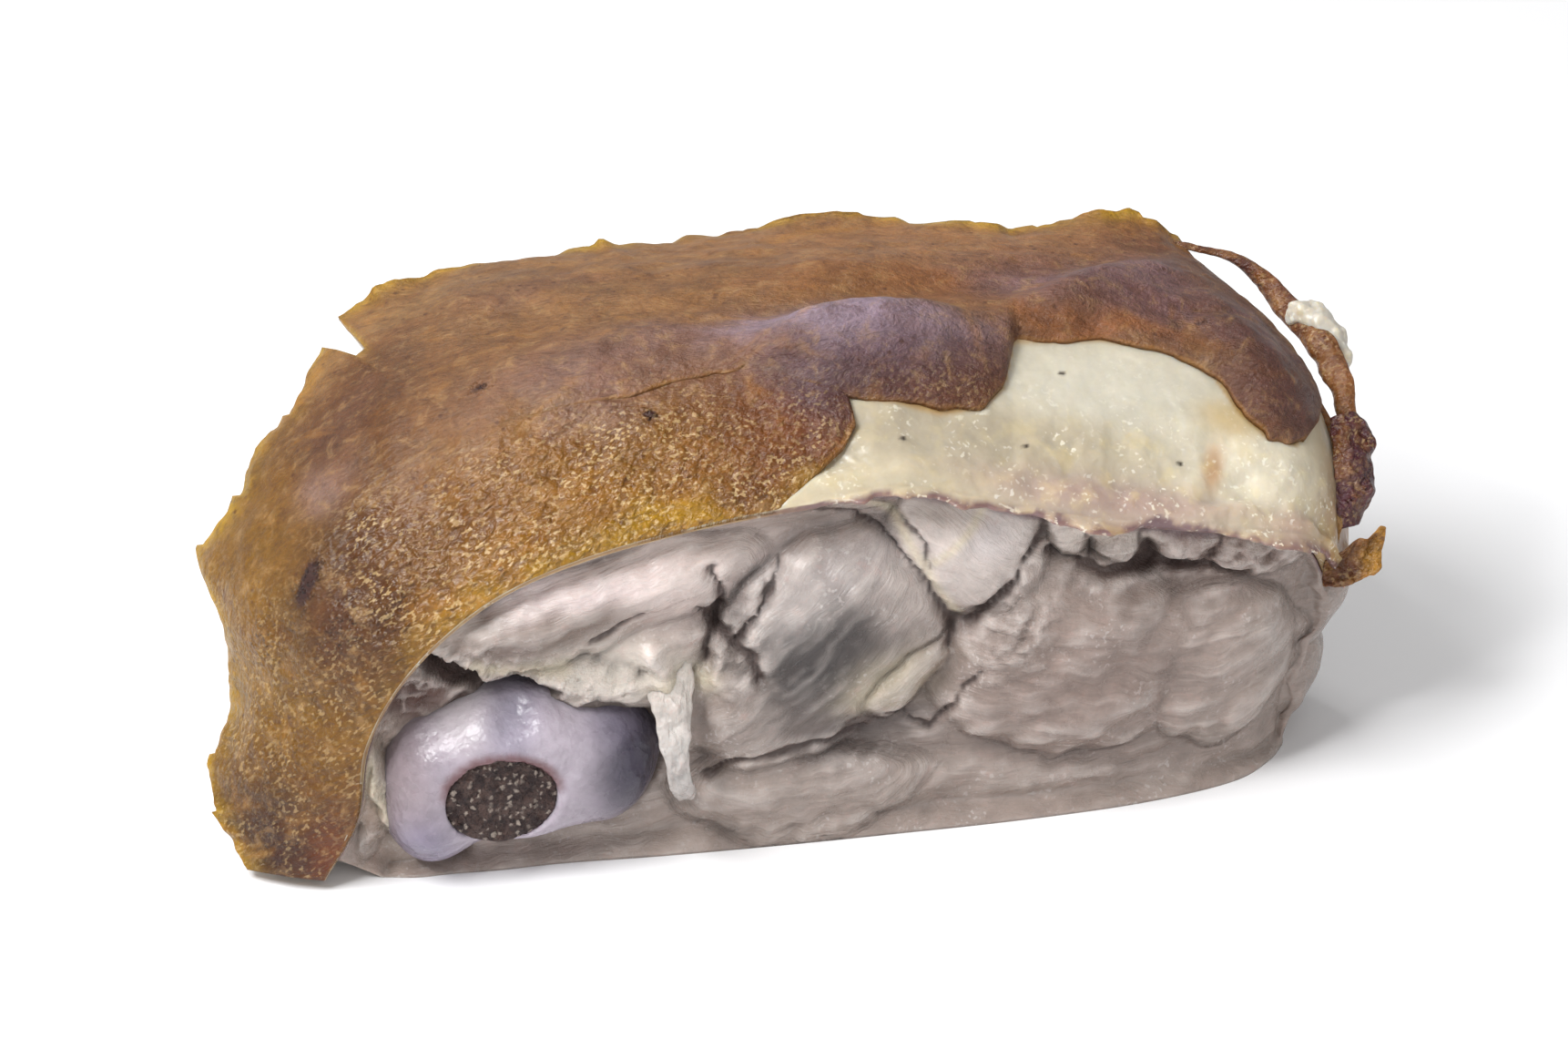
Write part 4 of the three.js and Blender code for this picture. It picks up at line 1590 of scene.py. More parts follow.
@dataclass(frozen=True)
class Muscle:
    """A muscle that swells out of a cut, as in the solids."""

    x: float
    z: float
    rx: float
    rz: float
    tilt: float
    swell: float
    POWER = 0.7

    @classmethod
    def rows(cls, *table: Sequence[float]) -> tuple["Muscle", ...]:
        """Reads muscles from rows of their six sizes."""
        return tuple(cls(*row) for row in table)

    def frame(self, x: Array, z: Array) -> tuple[Array, Array]:
        """Turns places into the muscle's own axes.

        Args:
            x: Where they are along the cut.
            z: How high they are.

        Returns:
            The millimetres along and across the muscle.
        """
        turn = math.radians(self.tilt)
        along = (x - self.x) * math.cos(turn) + (z - self.z) * math.sin(turn)
        across = (z - self.z) * math.cos(turn) - (x - self.x) * math.sin(turn)
        return along, across

    def dome(self, x: Array, z: Array) -> Array:
        """Swells the muscle.

        Args:
            x: Where the places are along the cut.
            z: How high they are.

        Returns:
            How far it swells at each.
        """
        along, across = self.frame(x, z)
        left = np.maximum(0, 1 - (along / self.rx) ** 2 - (across / self.rz) ** 2)
        return self.swell * left**self.POWER


@dataclass(frozen=True)
class Fissure:
    """A crack, sinew or ridge in a cut: its line, half width and depth or height."""

    points: Pairs
    width: float
    depth: float

    @classmethod
    def rows(cls, *table: Sequence) -> tuple["Fissure", ...]:
        """Reads cracks from rows of the half width, the depth and the points."""
        return tuple(cls(points, width, depth) for width, depth, *points in table)

    def open(self, x: Array, z: Array, wide: Union[Array, float] = 1.0) -> Array:
        """How open the crack is, from 0 to 1, where it is so many times as wide."""
        return bell(to_line(self.points, np.stack([x, z], -1)) / (self.width * np.maximum(wide, 0.15)))


Oval = tuple[tuple[float, float], tuple[float, float]]  # a middle and half sizes in x and z


@dataclass
class CutFace:
    """The relief of a cut, worked out on a raster of x and z so that hollows can be found.

    Attributes:
        muscles: The muscles that swell out of it.
        bundles: Softer mounds on them.
        gapes: Where it falls in.
        fissures: Its cracks.
        bone: Middles and half sizes of the knuckle's outline in x and z.
        crumbly: Where it is crumbly.
        ridges: Where it stands up in a ridge.
        membrane: How far it is drawn in all over.
    """

    muscles: tuple[Muscle, ...]
    bundles: tuple[Muscle, ...]
    gapes: tuple[Muscle, ...]
    fissures: tuple[Fissure, ...]
    bone: tuple[Oval, ...]
    crumbly: Spots = ()
    ridges: tuple[Fissure, ...] = ()
    step: float = 0.3  # of the raster, in millimetres
    low: tuple[float, float] = (-94.0, -4.0)  # its corner
    high: tuple[float, float] = (94.0, 76.0)
    membrane: float = 3.6
    merge: float = 3.5  # how sharply neighbouring muscles meet
    grain_merge: float = 2.4  # how sharply their fibres do
    gentle: float = 0.72  # how deep the cracks are against their full depth
    mound: float = 1.7  # how high the softer mounds are
    blurs: tuple[float, float, float] = (1.5, 5.0, 1.3)  # widths that show hollows, dips and crests
    warp_x: Layers = ((50, 13, 3, 1.7), (51, 3.2, 2, 0.5))  # how the muscles are bent sideways
    warp_z: Layers = ((52, 13, 3, 1.7), (53, 3.2, 2, 0.5))  # and up or down

    def __post_init__(self) -> None:
        """Works out the rasters."""
        (x0, z0), (x1, z1) = self.low, self.high
        x, z = np.meshgrid(np.arange(x0, x1, self.step), np.arange(z0, z1, self.step), indexing="ij")
        place = np.stack([x, x * 0, z], -1)
        xw, zw = x + layered(place, self.warp_x), z + layered(place, self.warp_z)
        domes = np.stack([muscle.dome(xw, zw) for muscle in self.muscles])
        frames = np.stack([muscle.frame(xw, zw) for muscle in self.muscles])
        heat = np.exp(self.grain_merge * domes)
        self.run, self.cross = (heat[:, None] * frames).sum(0) / heat.sum(0)
        height = np.log(np.exp(self.merge * domes).sum(0)) / self.merge - self.membrane
        mounds = [x * 0]
        for bundle in self.bundles:
            along, across = bundle.frame(xw, zw)
            mounds.append(self.mound * bell(np.hypot(along / bundle.rx, across / bundle.rz) ** 1.3))
        height = height + np.maximum.reduce(mounds) - 0.4
        grain = np.stack([self.run / 11, self.cross / 2.3, place[..., 2] * 0], -1)
        thread = np.stack([self.run / 6, self.cross / 0.9, place[..., 2] * 0], -1)
        height = height + Lumps(54).at(grain, 1, 2) * 0.32 + Lumps(55).at(thread, 1, 2) * 0.12
        height = height + Lumps(60).at(place, 7, 3) * 0.32
        for ridge in self.ridges:
            height = height + ridge.open(x, z) * ridge.depth
        self.ragged = spotted(self.crumbly, x, z)
        torn = 1 - 2.2 * np.abs(Lumps(56).at(place, 3.4, 4))
        height = height + self.ragged * (torn * 0.8 + Lumps(57).at(place, 1.3, 2) * 0.35)
        fine = Lumps(58).at(place, 2.6, 3)
        near = np.stack([x + fine * 0.6, z + Lumps(59).at(place, 2.6, 3) * 0.6], -1)
        wide = 0.75 + 0.6 * Lumps(61).at(place, 4, 2)
        self.crack = x * 0
        for fissure in self.fissures:
            opening = fissure.open(near[..., 0], near[..., 1], wide)
            height = height - opening * fissure.depth * self.gentle
            self.crack = np.maximum(self.crack, opening)
        gape = np.maximum.reduce([x * 0] + [g.dome(near[..., 0], near[..., 1]) for g in self.gapes])
        self.crack = np.maximum(self.crack, np.clip(gape / 2.5, 0, 1))
        height = height - gape
        outside = [(np.hypot((x - a) / p, (z - b) / q) - 1) * min(p, q) for (a, b), (p, q) in self.bone]
        away = np.minimum.reduce(outside) + fine * 0.5
        # near the knuckle the cut sinks, and the meat is painted darker there as the knuckle's shadow
        self.by_bone = np.exp(-np.maximum(away, 0) / 0.8) * smooth((x + 54) / 6)
        self.height = height - 1.2 * self.by_bone
        # hollows, dips and crests, used for painted shade and painted highlights on the meat
        narrow, broad, crisp = (blurred(self.height, width / self.step) for width in self.blurs)
        self.hollow = np.clip((narrow - self.height - 0.1) / 0.9, 0, 1)
        self.dip = np.clip((broad - self.height) / 3, 0, 1)
        self.crest = np.clip((self.height - crisp) / 0.6, 0, 1)

    def read(self, raster: Array, x: Array, z: Array) -> Array:
        """Reads a raster, smoothly between its cells.

        Args:
            raster: The values.
            x: Where the places are along the cut.
            z: How high they are.

        Returns:
            The value at each.
        """
        a = np.clip((x - self.low[0]) / self.step, 0, raster.shape[0] - 1.001)
        b = np.clip((z - self.low[1]) / self.step, 0, raster.shape[1] - 1.001)
        i, j = a.astype(int), b.astype(int)
        p, q = a - i, b - j
        near = mix(raster[i, j], raster[i + 1, j], p)
        return mix(near, mix(raster[i, j + 1], raster[i + 1, j + 1], p), q)


@dataclass
class Haunch:
    """The meat: muscles that swell out of the front cut, the back cut and the right end."""

    SHORT: ClassVar[float] = 0.4  # how much the fibres' places are drawn together along the depth
    roof: Roof
    cells: tuple[int, int, int] = (310, 14, 130)
    share_u: tuple[float, float] = (0.025, 0.985)  # how much of the roof it fills, from left to right
    share_v: tuple[float, float] = (0.03, 0.78)  # and from front to back
    # over which share of the meat the swelling sets in, from the fat, underside, sides, cuts and right end
    set_in: tuple[float, float, float, float, float] = (0.1, 0.06, 0.05, 0.3, 0.15)
    front: tuple[Muscle, ...] = Muscle.rows(
        (-29, 43, 29, 9.5, 16, 6), (-26.5, 29.8, 16, 6.2, -8, 5.6), (-19, 36, 11, 8, 0, 5),
        (4.5, 31.5, 25, 17, 42, 8), (27, 46, 14, 12, -35, 7), (18, 26, 10, 5.5, 40, 6.5),
        (43, 48, 4, 5.5, 0, 4.5), (49, 46.5, 5, 6.5, 15, 6), (60, 46, 8, 5, -12, 4.5),
        (71, 41, 8, 4.5, -15, 4), (44, 26, 22, 17, -10, 7), (66, 22, 13, 16, 10, 5),
        (2, 8, 22, 8, 0, 4), (-63, 17, 4, 15, 4, 3), (-60.5, 16, 2.0, 12, 13, 4.6),
    )
    bundles: tuple[Muscle, ...] = Muscle.rows(
        (36, 34, 10, 5, 55, 7.2), (50, 33, 12, 5, 35, 7.8), (30, 20, 13, 5, 30, 7),
        (47, 17, 12, 5, 10, 7), (62, 33, 8, 5, 60, 5.8), (70, 26, 7, 6, -60, 5.8),
        (60, 13, 9, 5, 20, 5.6), (73, 13, 6, 5, 50, 4.5), (-4, 11, 10, 4, 20, 4.8),
        (12, 12, 11, 5, -15, 5.2), (22, 7, 12, 4, 5, 4.6), (38, 6, 12, 4, -5, 4.4),
        (8, 44, 9, 5, -20, 8.2), (-6, 20, 7, 10, 10, 6.2), (-36, 44, 12, 4, 20, 6.8),
        (-14, 49, 12, 4, 10, 6.4),
    )
    back: tuple[Muscle, ...] = Muscle.rows(
        (-42, 30, 18, 24, 10, 5), (-8, 45, 20, 14, -8, 5.5), (2, 16, 26, 16, 0, 5),
        (36, 34, 22, 22, 15, 6), (62, 24, 14, 20, 0, 5),
    )
    end: tuple[Muscle, ...] = Muscle.rows((-2, 26, 10, 10, 20, 4), (4, 10, 14, 9, 0, 5))
    gapes: tuple[Muscle, ...] = Muscle.rows((-50, 35, 8, 2.6, -38, 5), (-40, 30.5, 7, 1.8, -4, 4))
    fissures: tuple[Fissure, ...] = Fissure.rows(
        (0.9, 1.5, (-55, 38.5), (-51, 34.5), (-46, 32.2), (-34, 31)),
        (0.6, 1.6, (-29, 39), (-26, 41), (-21.5, 43)),
        (0.9, 2.8, (-10.7, 49), (-9.4, 45), (-8.8, 42), (-10.7, 38.8), (-5.5, 34.3), (-3.3, 30.9)),
        (0.7, 1.8, (-12, 33), (-10.7, 38.8), (-13, 42)),
        (0.55, 1.9, (-7, 36.5), (-4.6, 39.8), (-2.4, 44.4)),
        (0.5, 1.7, (-3.2, 41.5), (-1.9, 44), (-0.4, 48.2)),
        (0.9, 2.2, (4, 57), (10, 54), (15.5, 50), (20.6, 44), (24.3, 36), (25, 31)),
        (0.6, 1.6, (10, 58.6), (15, 55), (20.5, 51), (21.6, 45)),
        (1.1, 2.6, (39.5, 53), (38.8, 47.6), (34, 40), (27, 34)),
        (0.8, 2.2, (46, 51.5), (45.6, 47), (46.4, 42)),
        (1.1, 3.0, (54.6, 51), (53.8, 46), (55.4, 41)),
        (0.8, 1.8, (63, 49), (66, 44), (64, 40)),
        (1.2, 2.6, (40, 44), (48, 40), (58, 40), (70, 37)),
        (0.7, 1.6, (16, 20), (22, 17), (30, 27)),
        (0.9, 1.8, (-12, 12), (-6, 16), (2, 17), (12, 18)),
    )
    sinews: tuple[Fissure, ...] = Fissure.rows(
        (0.8, 0, (11, 57.5), (16.5, 53.5), (21, 45.5), (26, 36)),
        (0.7, 0, (32, 57), (28, 51), (22.5, 46.5)),
        (1.4, 0, (-46, 36.5), (-40, 34.6), (-33, 34.6)),
        (1.6, 0, (-64, 30), (-61.5, 18), (-57, 6)),
        (2.0, 0, (-18, 30), (-15.5, 31), (-12, 30)),
    )
    bone: tuple[Oval, ...] = (((-53, 14), (8.5, 13)), ((-27.8, 17), (9, 11)), ((-41.5, 17.5), (16, 13)))
    shaft: tuple[Oval, ...] = (((-24, 27), (8, 8)),)
    crumbly: Spots = (
        (-47, 37, 8, 4, 1), (-40, 34, 9, 3, 1), (-26, 31, 14, 4, 1), (-8, 37, 4, 7, 1), (51, 45, 13, 6, 1),
        (-63, 20, 5, 16, 1), (70, 42, 14, 6, 1), (34, 34, 5, 8, 1), (-56, 32, 5, 5, 1),
    )
    back_crumbly: Spots = (
        (-42, 44, 12, 4, 1), (10, 30, 6, 10, 1), (56, 44, 8, 6, 1), (-10, 28, 8, 5, 1),
    )
    ridges: tuple[Fissure, ...] = Fissure.rows(
        (1.9, 2.6, (-19.5, 36), (-17.4, 31), (-16.2, 25), (-15.4, 18)),
    )
    back_membrane: float = 1.6
    back_bundles: tuple[Muscle, ...] = Muscle.rows(
        (-46, 38, 12, 6, 30, 0), (-36, 18, 12, 7, -15, 0), (-8, 50, 14, 5, -6, 0),
        (2, 38, 12, 5, 10, 0), (-8, 12, 14, 6, 5, 0), (16, 18, 9, 8, 30, 0), (34, 42, 14, 7, 10, 0),
        (40, 24, 12, 8, 20, 0), (62, 30, 8, 10, 0, 0), (60, 12, 10, 6, 10, 0),
    )
    back_fissures: tuple[Fissure, ...] = Fissure.rows(
        (0.8, 2.2, (-32, 48), (-26, 42), (-27, 36)),
        (1.0, 2.6, (-20, 20), (-12, 24), (4, 27), (14, 34), (17, 46)),
        (0.8, 2.0, (-62, 26), (-50, 28), (-40, 27), (-33, 24)),
        (0.8, 2.0, (20, 8), (25, 16), (24, 26), (17, 32)),
        (0.8, 2.2, (50, 52), (52, 42), (50, 30), (53, 18), (50, 6)),
        (0.6, 1.5, (30, 32), (38, 33), (46, 36)),
    )
    # the patches at (5.5, 34) and (10, 20) are painted shadow of a neighbouring portion on the round muscle,
    # darkest at its middle and low down; the one at (33, 50) is a painted highlight
    patches: tuple[Patch, ...] = Patch.rows(
        (-22, 47, 32, 9, 214, 197, 191, 0.92), (-34, 48, 14, 4, 224, 208, 208, 0.7),
        (-38, 41.5, 15, 4.5, 108, 92, 82, 0.9), (-27, 32, 14, 6, 220, 210, 199, 0.92),
        (5.5, 34, 14, 12, 60, 56, 56, 0.97), (10, 20, 14, 8, 96, 87, 84, 0.8),
        (-1, 43, 8, 7, 176, 168, 164, 0.75), (10, 47, 8, 5, 164, 156, 154, 0.75),
        (27, 46, 12, 11, 208, 196, 190, 0.92), (33, 50, 5, 5, 220, 210, 208, 0.8),
        (18, 27, 8, 5, 184, 172, 150, 0.85), (50, 49, 12, 6, 226, 214, 204, 0.92),
        (68, 44, 13, 8, 140, 118, 110, 0.85), (46, 24, 22, 16, 140, 122, 114, 0.8),
        (-62, 18, 5, 18, 176, 156, 142, 0.8), (-54, 31, 4, 5, 96, 64, 58, 0.8),
    )
    back_patches: tuple[Patch, ...] = Patch.rows(
        (-44, 30, 18, 18, 188, 172, 162, 0.9), (-6, 46, 18, 9, 204, 190, 182, 0.9),
        (0, 16, 20, 12, 166, 150, 144, 0.9), (36, 34, 16, 18, 176, 160, 152, 0.9),
        (62, 22, 10, 18, 190, 174, 164, 0.85), (-24, 27, 12, 10, 142, 120, 116, 0.7),
    )
    ground: Rgb = seen(162, 148, 140)
    under_fat: Rgb = seen(108, 84, 90)
    shade: Rgb = seen(74, 60, 58)
    # laid on the crests of a cut as a painted highlight
    pale: Rgb = seen(222, 212, 206)
    gristle: Rgb = seen(214, 202, 178)

    def swell(self, muscles: Sequence[Muscle], x: Array, z: Array) -> Array:
        """How far the highest of the muscles swells."""
        return np.maximum.reduce([muscle.dome(x, z) for muscle in muscles])

    def build(self, finish: bpy.types.Material) -> bpy.types.Object:
        """Builds the meat.

        Args:
            finish: The meat's material.

        Returns:
            The meat.
        """
        roof = self.roof
        nu, nv, nw = self.cells
        lattice, faces = block_faces(nu, nv, nw)
        u, v, w = (lattice / (nu, nv, nw)).T
        rib = mix(*self.share_u, u) * roof.last
        share = mix(*self.share_v, v)
        point, normal = roof.face(rib, share)
        top = point - normal * (roof.thickness(rib, share) + roof.gap)[:, None]
        foot_front, foot_back = roof.column(4, rib), roof.column(5, rib)
        foot = np.hstack([mix(foot_front, foot_back, v[:, None]), np.zeros((len(u), 1))])
        x, y, z = mix(top, foot, w[:, None]).T
        by_fat, by_base, by_side, by_cut, by_end = self.set_in
        fade = smooth(w / by_fat) * smooth((1 - w) / by_base)
        sides = smooth(u / by_side) * smooth((1 - u) / by_side)
        on_front = smooth(1 - v / by_cut)
        on_back = smooth(1 - (1 - v) / by_cut)
        cut = CutFace(
            self.front, self.bundles, self.gapes, self.fissures, self.bone, self.crumbly, self.ridges,
        )
        behind = CutFace(
            self.back, self.back_bundles, (), self.back_fissures, self.shaft, self.back_crumbly,
            membrane=self.back_membrane,
        )
        front, back = cut.read(cut.height, x, z), behind.read(behind.height, x, z)
        place = np.stack([x, y, z], -1)
        small = Lumps(21).at(place, 7, 3) * 0.9
        y = y + fade * sides * (on_back * back - on_front * front)
        x = x + fade * smooth(1 - (1 - u) / by_end) * (self.swell(self.end, y, z) + small)
        points = np.stack([x, y, np.maximum(z, 0)], -1)
        ahead = self.paints(cut, self.patches, points, place, on_front, w)
        after = self.paints(behind, self.back_patches, points, place, on_back, w)
        t = smooth((v - 0.35) / 0.3)
        paints = {k: mix(ahead[k], after[k], t[:, None] if ahead[k].ndim > 1 else t) for k in ahead}
        return Piece("haunch_muscles", points, faces, finish, "meat", paints, ("haunch_meat",)).make()

    def paints(
        self, cut: CutFace, patches: Sequence[Patch], points: Array, place: Array, on_front: Array, w: Array,
    ) -> dict[str, Array]:
        """Colours the meat, with painted shade in its hollows, dips and by the knuckle and painted
        highlights on its crests, and lays its fibres.

        Args:
            cut: The relief of this cut.
            patches: Its patches of colour.
            points: The finished points.
            place: The points before they swelled.
            on_front: 1 on the cut, 0 away from it.
            w: The share of the way from the fat to the underside.

        Returns:
            The paints by name.
        """
        x, z = place[:, 0], place[:, 2]
        names = ("hollow", "dip", "crest", "crack", "by_bone", "ragged", "run", "cross")
        hollow, dip, crest, crack, by_bone, ragged, run, cross = (
            cut.read(getattr(cut, name), x, z) for name in names
        )
        wander = Lumps(23).at(place, 9, 3) * 2.5
        colour = painted(self.ground, patches, x + wander, z + wander * 0.6)
        sinew = np.clip(sum(line.open(x, z) for line in self.sinews), 0, 1) * on_front
        # dark cracks, with painted shade in the hollows and painted shadow next to the knuckle
        seam = np.maximum(np.maximum(hollow * 0.55, crack), by_bone * 0.9) * on_front * (1 - 0.6 * sinew)
        rim = 0.03 * (1 + 0.8 * Lumps(24).at(place, 5, 3))
        top = smooth(1 - w / np.maximum(rim, 0.005)) * on_front
        # painted highlight on the crests, painted shade in the broad dips
        colour = stained(
            colour, (self.pale, 0.5 * crest * on_front), (self.shade, 0.55 * dip * on_front),
            (self.gristle, 0.75 * sinew), (self.under_fat, 0.85 * top),
        )
        return {
            "tint": colour, "seam": np.clip(seam, 0, 1), "ragged": ragged * on_front,
            "run": run, "cross": cross, "depth": points[:, 1] * self.SHORT,
        }


# ---- knuckle


Point = tuple[float, float, float]
Lobe = tuple[Point, Point]  # a middle and half sizes


@dataclass
class Knuckle:
    """The sawn knuckle with its shaft, and the marrow in its face."""

    lobes: tuple[Lobe, ...] = (
        ((-53, -39, 14), (8.5, 13, 13)), ((-27.8, -35, 17), (9, 12, 11)),
        ((-41.5, -38, 17.5), (16, 14.5, 13)),
    )
    saw: tuple[Point, float] = ((-0.22, 0.975, 0), -39.5)  # the saw cut's direction and offset
    shaft: tuple[Point, Point, float] = ((-41, -38, 17), (-24, 27, 27), 8.0)  # ends and radius
    marrow: Lobe = ((-42.5, -48, 15.5), (8.8, 6, 7.2))
    saddle: Lobe = ((-40, -48.5, 33), (4.5, 7, 7))  # the hollow in its top
    sunk: float = 1.1  # how deep the marrow lies in the sawn face
    core: float = 4.2  # radius of the marrow at the shaft's sawn end
    lowest: float = 0.4
    step: float = 0.62  # size of the cells that wrap it
    ground: Rgb = seen(178, 168, 178)
    # painted light and shade: lighter on the top left and the right bulge, grey-blue painted shade down the
    # left, at the lower left and in the hollow of the top, dark painted shade over the ball at the right
    patches: tuple[Patch, ...] = Patch.rows(
        (-48, 29, 6, 5, 196, 188, 192, 0.8), (-57, 16, 5, 14, 152, 138, 142, 0.85),
        (-54, 7, 5, 7, 142, 134, 156, 0.8), (-40, 28, 4.5, 6, 158, 152, 168, 0.8),
        (-33, 22, 5, 8, 192, 182, 192, 0.85), (-22, 18, 6.5, 12, 74, 70, 84, 0.97),
        (-24.5, 27, 5, 4, 120, 114, 130, 0.7),
    )

    @staticmethod
    def ellipsoid(points: Array, at: Sequence[float], half: Sequence[float]) -> Array:
        """Finds the distance from an ellipsoid, nearly.

        Args:
            points: The points it is found for.
            at: The ellipsoid's middle.
            half: Its half sizes.

        Returns:
            The distance of each point, negative inside.
        """
        away = points - np.array(at)
        one = np.linalg.norm(away / np.array(half), axis=-1)
        two = np.linalg.norm(away / np.array(half) ** 2, axis=-1)
        return one * (one - 1) / np.maximum(two, 1e-6)

    @staticmethod
    def melt(a: Array, b: Array, width: float) -> Array:
        """The union of two forms, melted together over a width."""
        h = np.clip(0.5 + 0.5 * (b - a) / width, 0, 1)
        return mix(b, a, h) - width * h * (1 - h)

    def sawn(self, points: Array) -> Array:
        """The distance in front of the saw cut."""
        normal, offset = self.saw
        return offset - points @ unit(np.array(normal))

    def distance(self, points: Array) -> Array:
        """Finds the distance from the knuckle.

        Args:
            points: The points it is found for.

        Returns:
            The distance of each point, negative inside.
        """
        made = None
        for at, half in self.lobes:
            lobe = self.ellipsoid(points, at, half)
            made = lobe if made is None else self.melt(made, lobe, 4.5)
        start, end, radius = (np.array(part, float) for part in self.shaft)
        along = np.clip((points - start) @ (end - start) / ((end - start) @ (end - start)), 0, 1)
        rod = np.linalg.norm(points - start - along[..., None] * (end - start), axis=-1) - radius
        made = self.melt(made, rod, 3.0)
        at, half = self.marrow
        hollow = self.ellipsoid(points, at, half)
        made = -self.melt(-made, self.ellipsoid(points, *self.saddle), 2.5)
        made = made + Lumps(32).at(points, 7, 2) * 0.3
        made = -self.melt(-made, -self.sawn(points), 2.2)
        made = -self.melt(-made, hollow, 0.9)
        far = points @ unit(end - start) - end @ unit(end - start)
        made = -self.melt(-made, -far, 1.2)
        return np.maximum(made, self.lowest - points[..., 2])

    def build(self, finish: bpy.types.Material) -> bpy.types.Object:
        """Builds the knuckle.

        Args:
            finish: The bone's material.

        Returns:
            The knuckle.
        """
        points, faces = wrapped(self.distance, (-66, -56, -1), (-12, 34, 38), self.step)
        x, _, z = points.T
        colour = painted(self.ground, self.patches, x, z)
        ring = bell(np.maximum(self.ellipsoid(points, *self.marrow), 0) / 2.1) * smooth((z - 12) / 8)
        end = np.array(self.shaft[1])
        inside = self.core - np.linalg.norm(points - end, axis=-1) + Lumps(33).at(points, 2.4, 2) * 0.5
        core = smooth(inside / 0.8 + 0.5)
        paints = {"tint": colour, "ring": ring, "marrow": core}
        return Piece("knuckle", points, faces, finish, "bone", paints, ("knuckle_bone",)).make()

    def build_marrow(self, finish: bpy.types.Material) -> bpy.types.Object:
        """Builds the marrow.

        Args:
            finish: The marrow's material.

        Returns:
            The marrow.
        """
        at, half = self.marrow
        normal, offset = self.saw
        direction = unit(np.array(normal))

        def lump(points: Array) -> Array:
            """The distance from the grainy marrow."""
            grains = Lumps(31).at(points, 1.5, 2) * 0.32
            cut = offset + self.sunk - points @ direction + grains
            return np.maximum(self.ellipsoid(points, at, half), cut)

        points, faces = wrapped(lump, (-53, -54, 7), (-32, -40, 24), 0.3)
        return Piece("marrow", points, faces, finish, "marrow", {}, ("bone_marrow",)).make()


# ---- strands and curls


@dataclass(frozen=True)
class Strip:
    """A strip or strand along a smooth line: its points, its cross direction and its sizes."""

    name: str
    points: Pairs
    across: tuple[float, float, float]
    width: tuple[float, ...]
    thick: float
    cells: tuple[int, int, int]
    tip: float = 0.6  # how wide the ends are against the rest
    curl: float = 0.0  # how far the sides stand up
    rough: float = 0.25
    notch: float = 0.0  # how ragged the sides are

    def block(self) -> tuple[Array, Array, Array, Array]:
        """Sweeps the strip.

        Returns:
            Its points, its faces, and the shares along and across of each point.
        """
        lattice, faces = block_faces(*self.cells)
        u, v, w = (lattice / self.cells).T
        side = unit(np.array(self.across, float))
        ahead, behind = spline(self.points, u + 1e-3), spline(self.points, u - 1e-3)
        up = unit(np.cross(ahead - behind, side))
        taper = mix(self.tip, 1, np.sqrt(np.sin(np.pi * np.clip(u, 0, 1)).clip(0)))
        middle = spline(self.points, u)
        wide = np.interp(u, np.linspace(0, 1, len(self.width)), self.width) * taper
        wide = wide * (1 + self.notch * Lumps(46).at(middle + side * np.sign(v - 0.5)[:, None] * 9, 2.6, 2))
        wobble = Lumps(41).at(middle, 5, 2) * self.rough
        offset = (v - 0.5) * wide * (1 + 0.3 * wobble)
        rounded = np.sqrt(np.clip(1 - (2 * np.abs(v - 0.5)) ** 4, 0.1, 1))
        height = (w - 0.5) * self.thick * rounded + self.curl * ((2 * v - 1) ** 2) + wobble * 0.8
        points = middle + side * offset[:, None] + up * height[:, None]
        points = points + up * (Lumps(42).at(points, 2.2, 3) * self.rough)[:, None]
        return points, faces, u, v


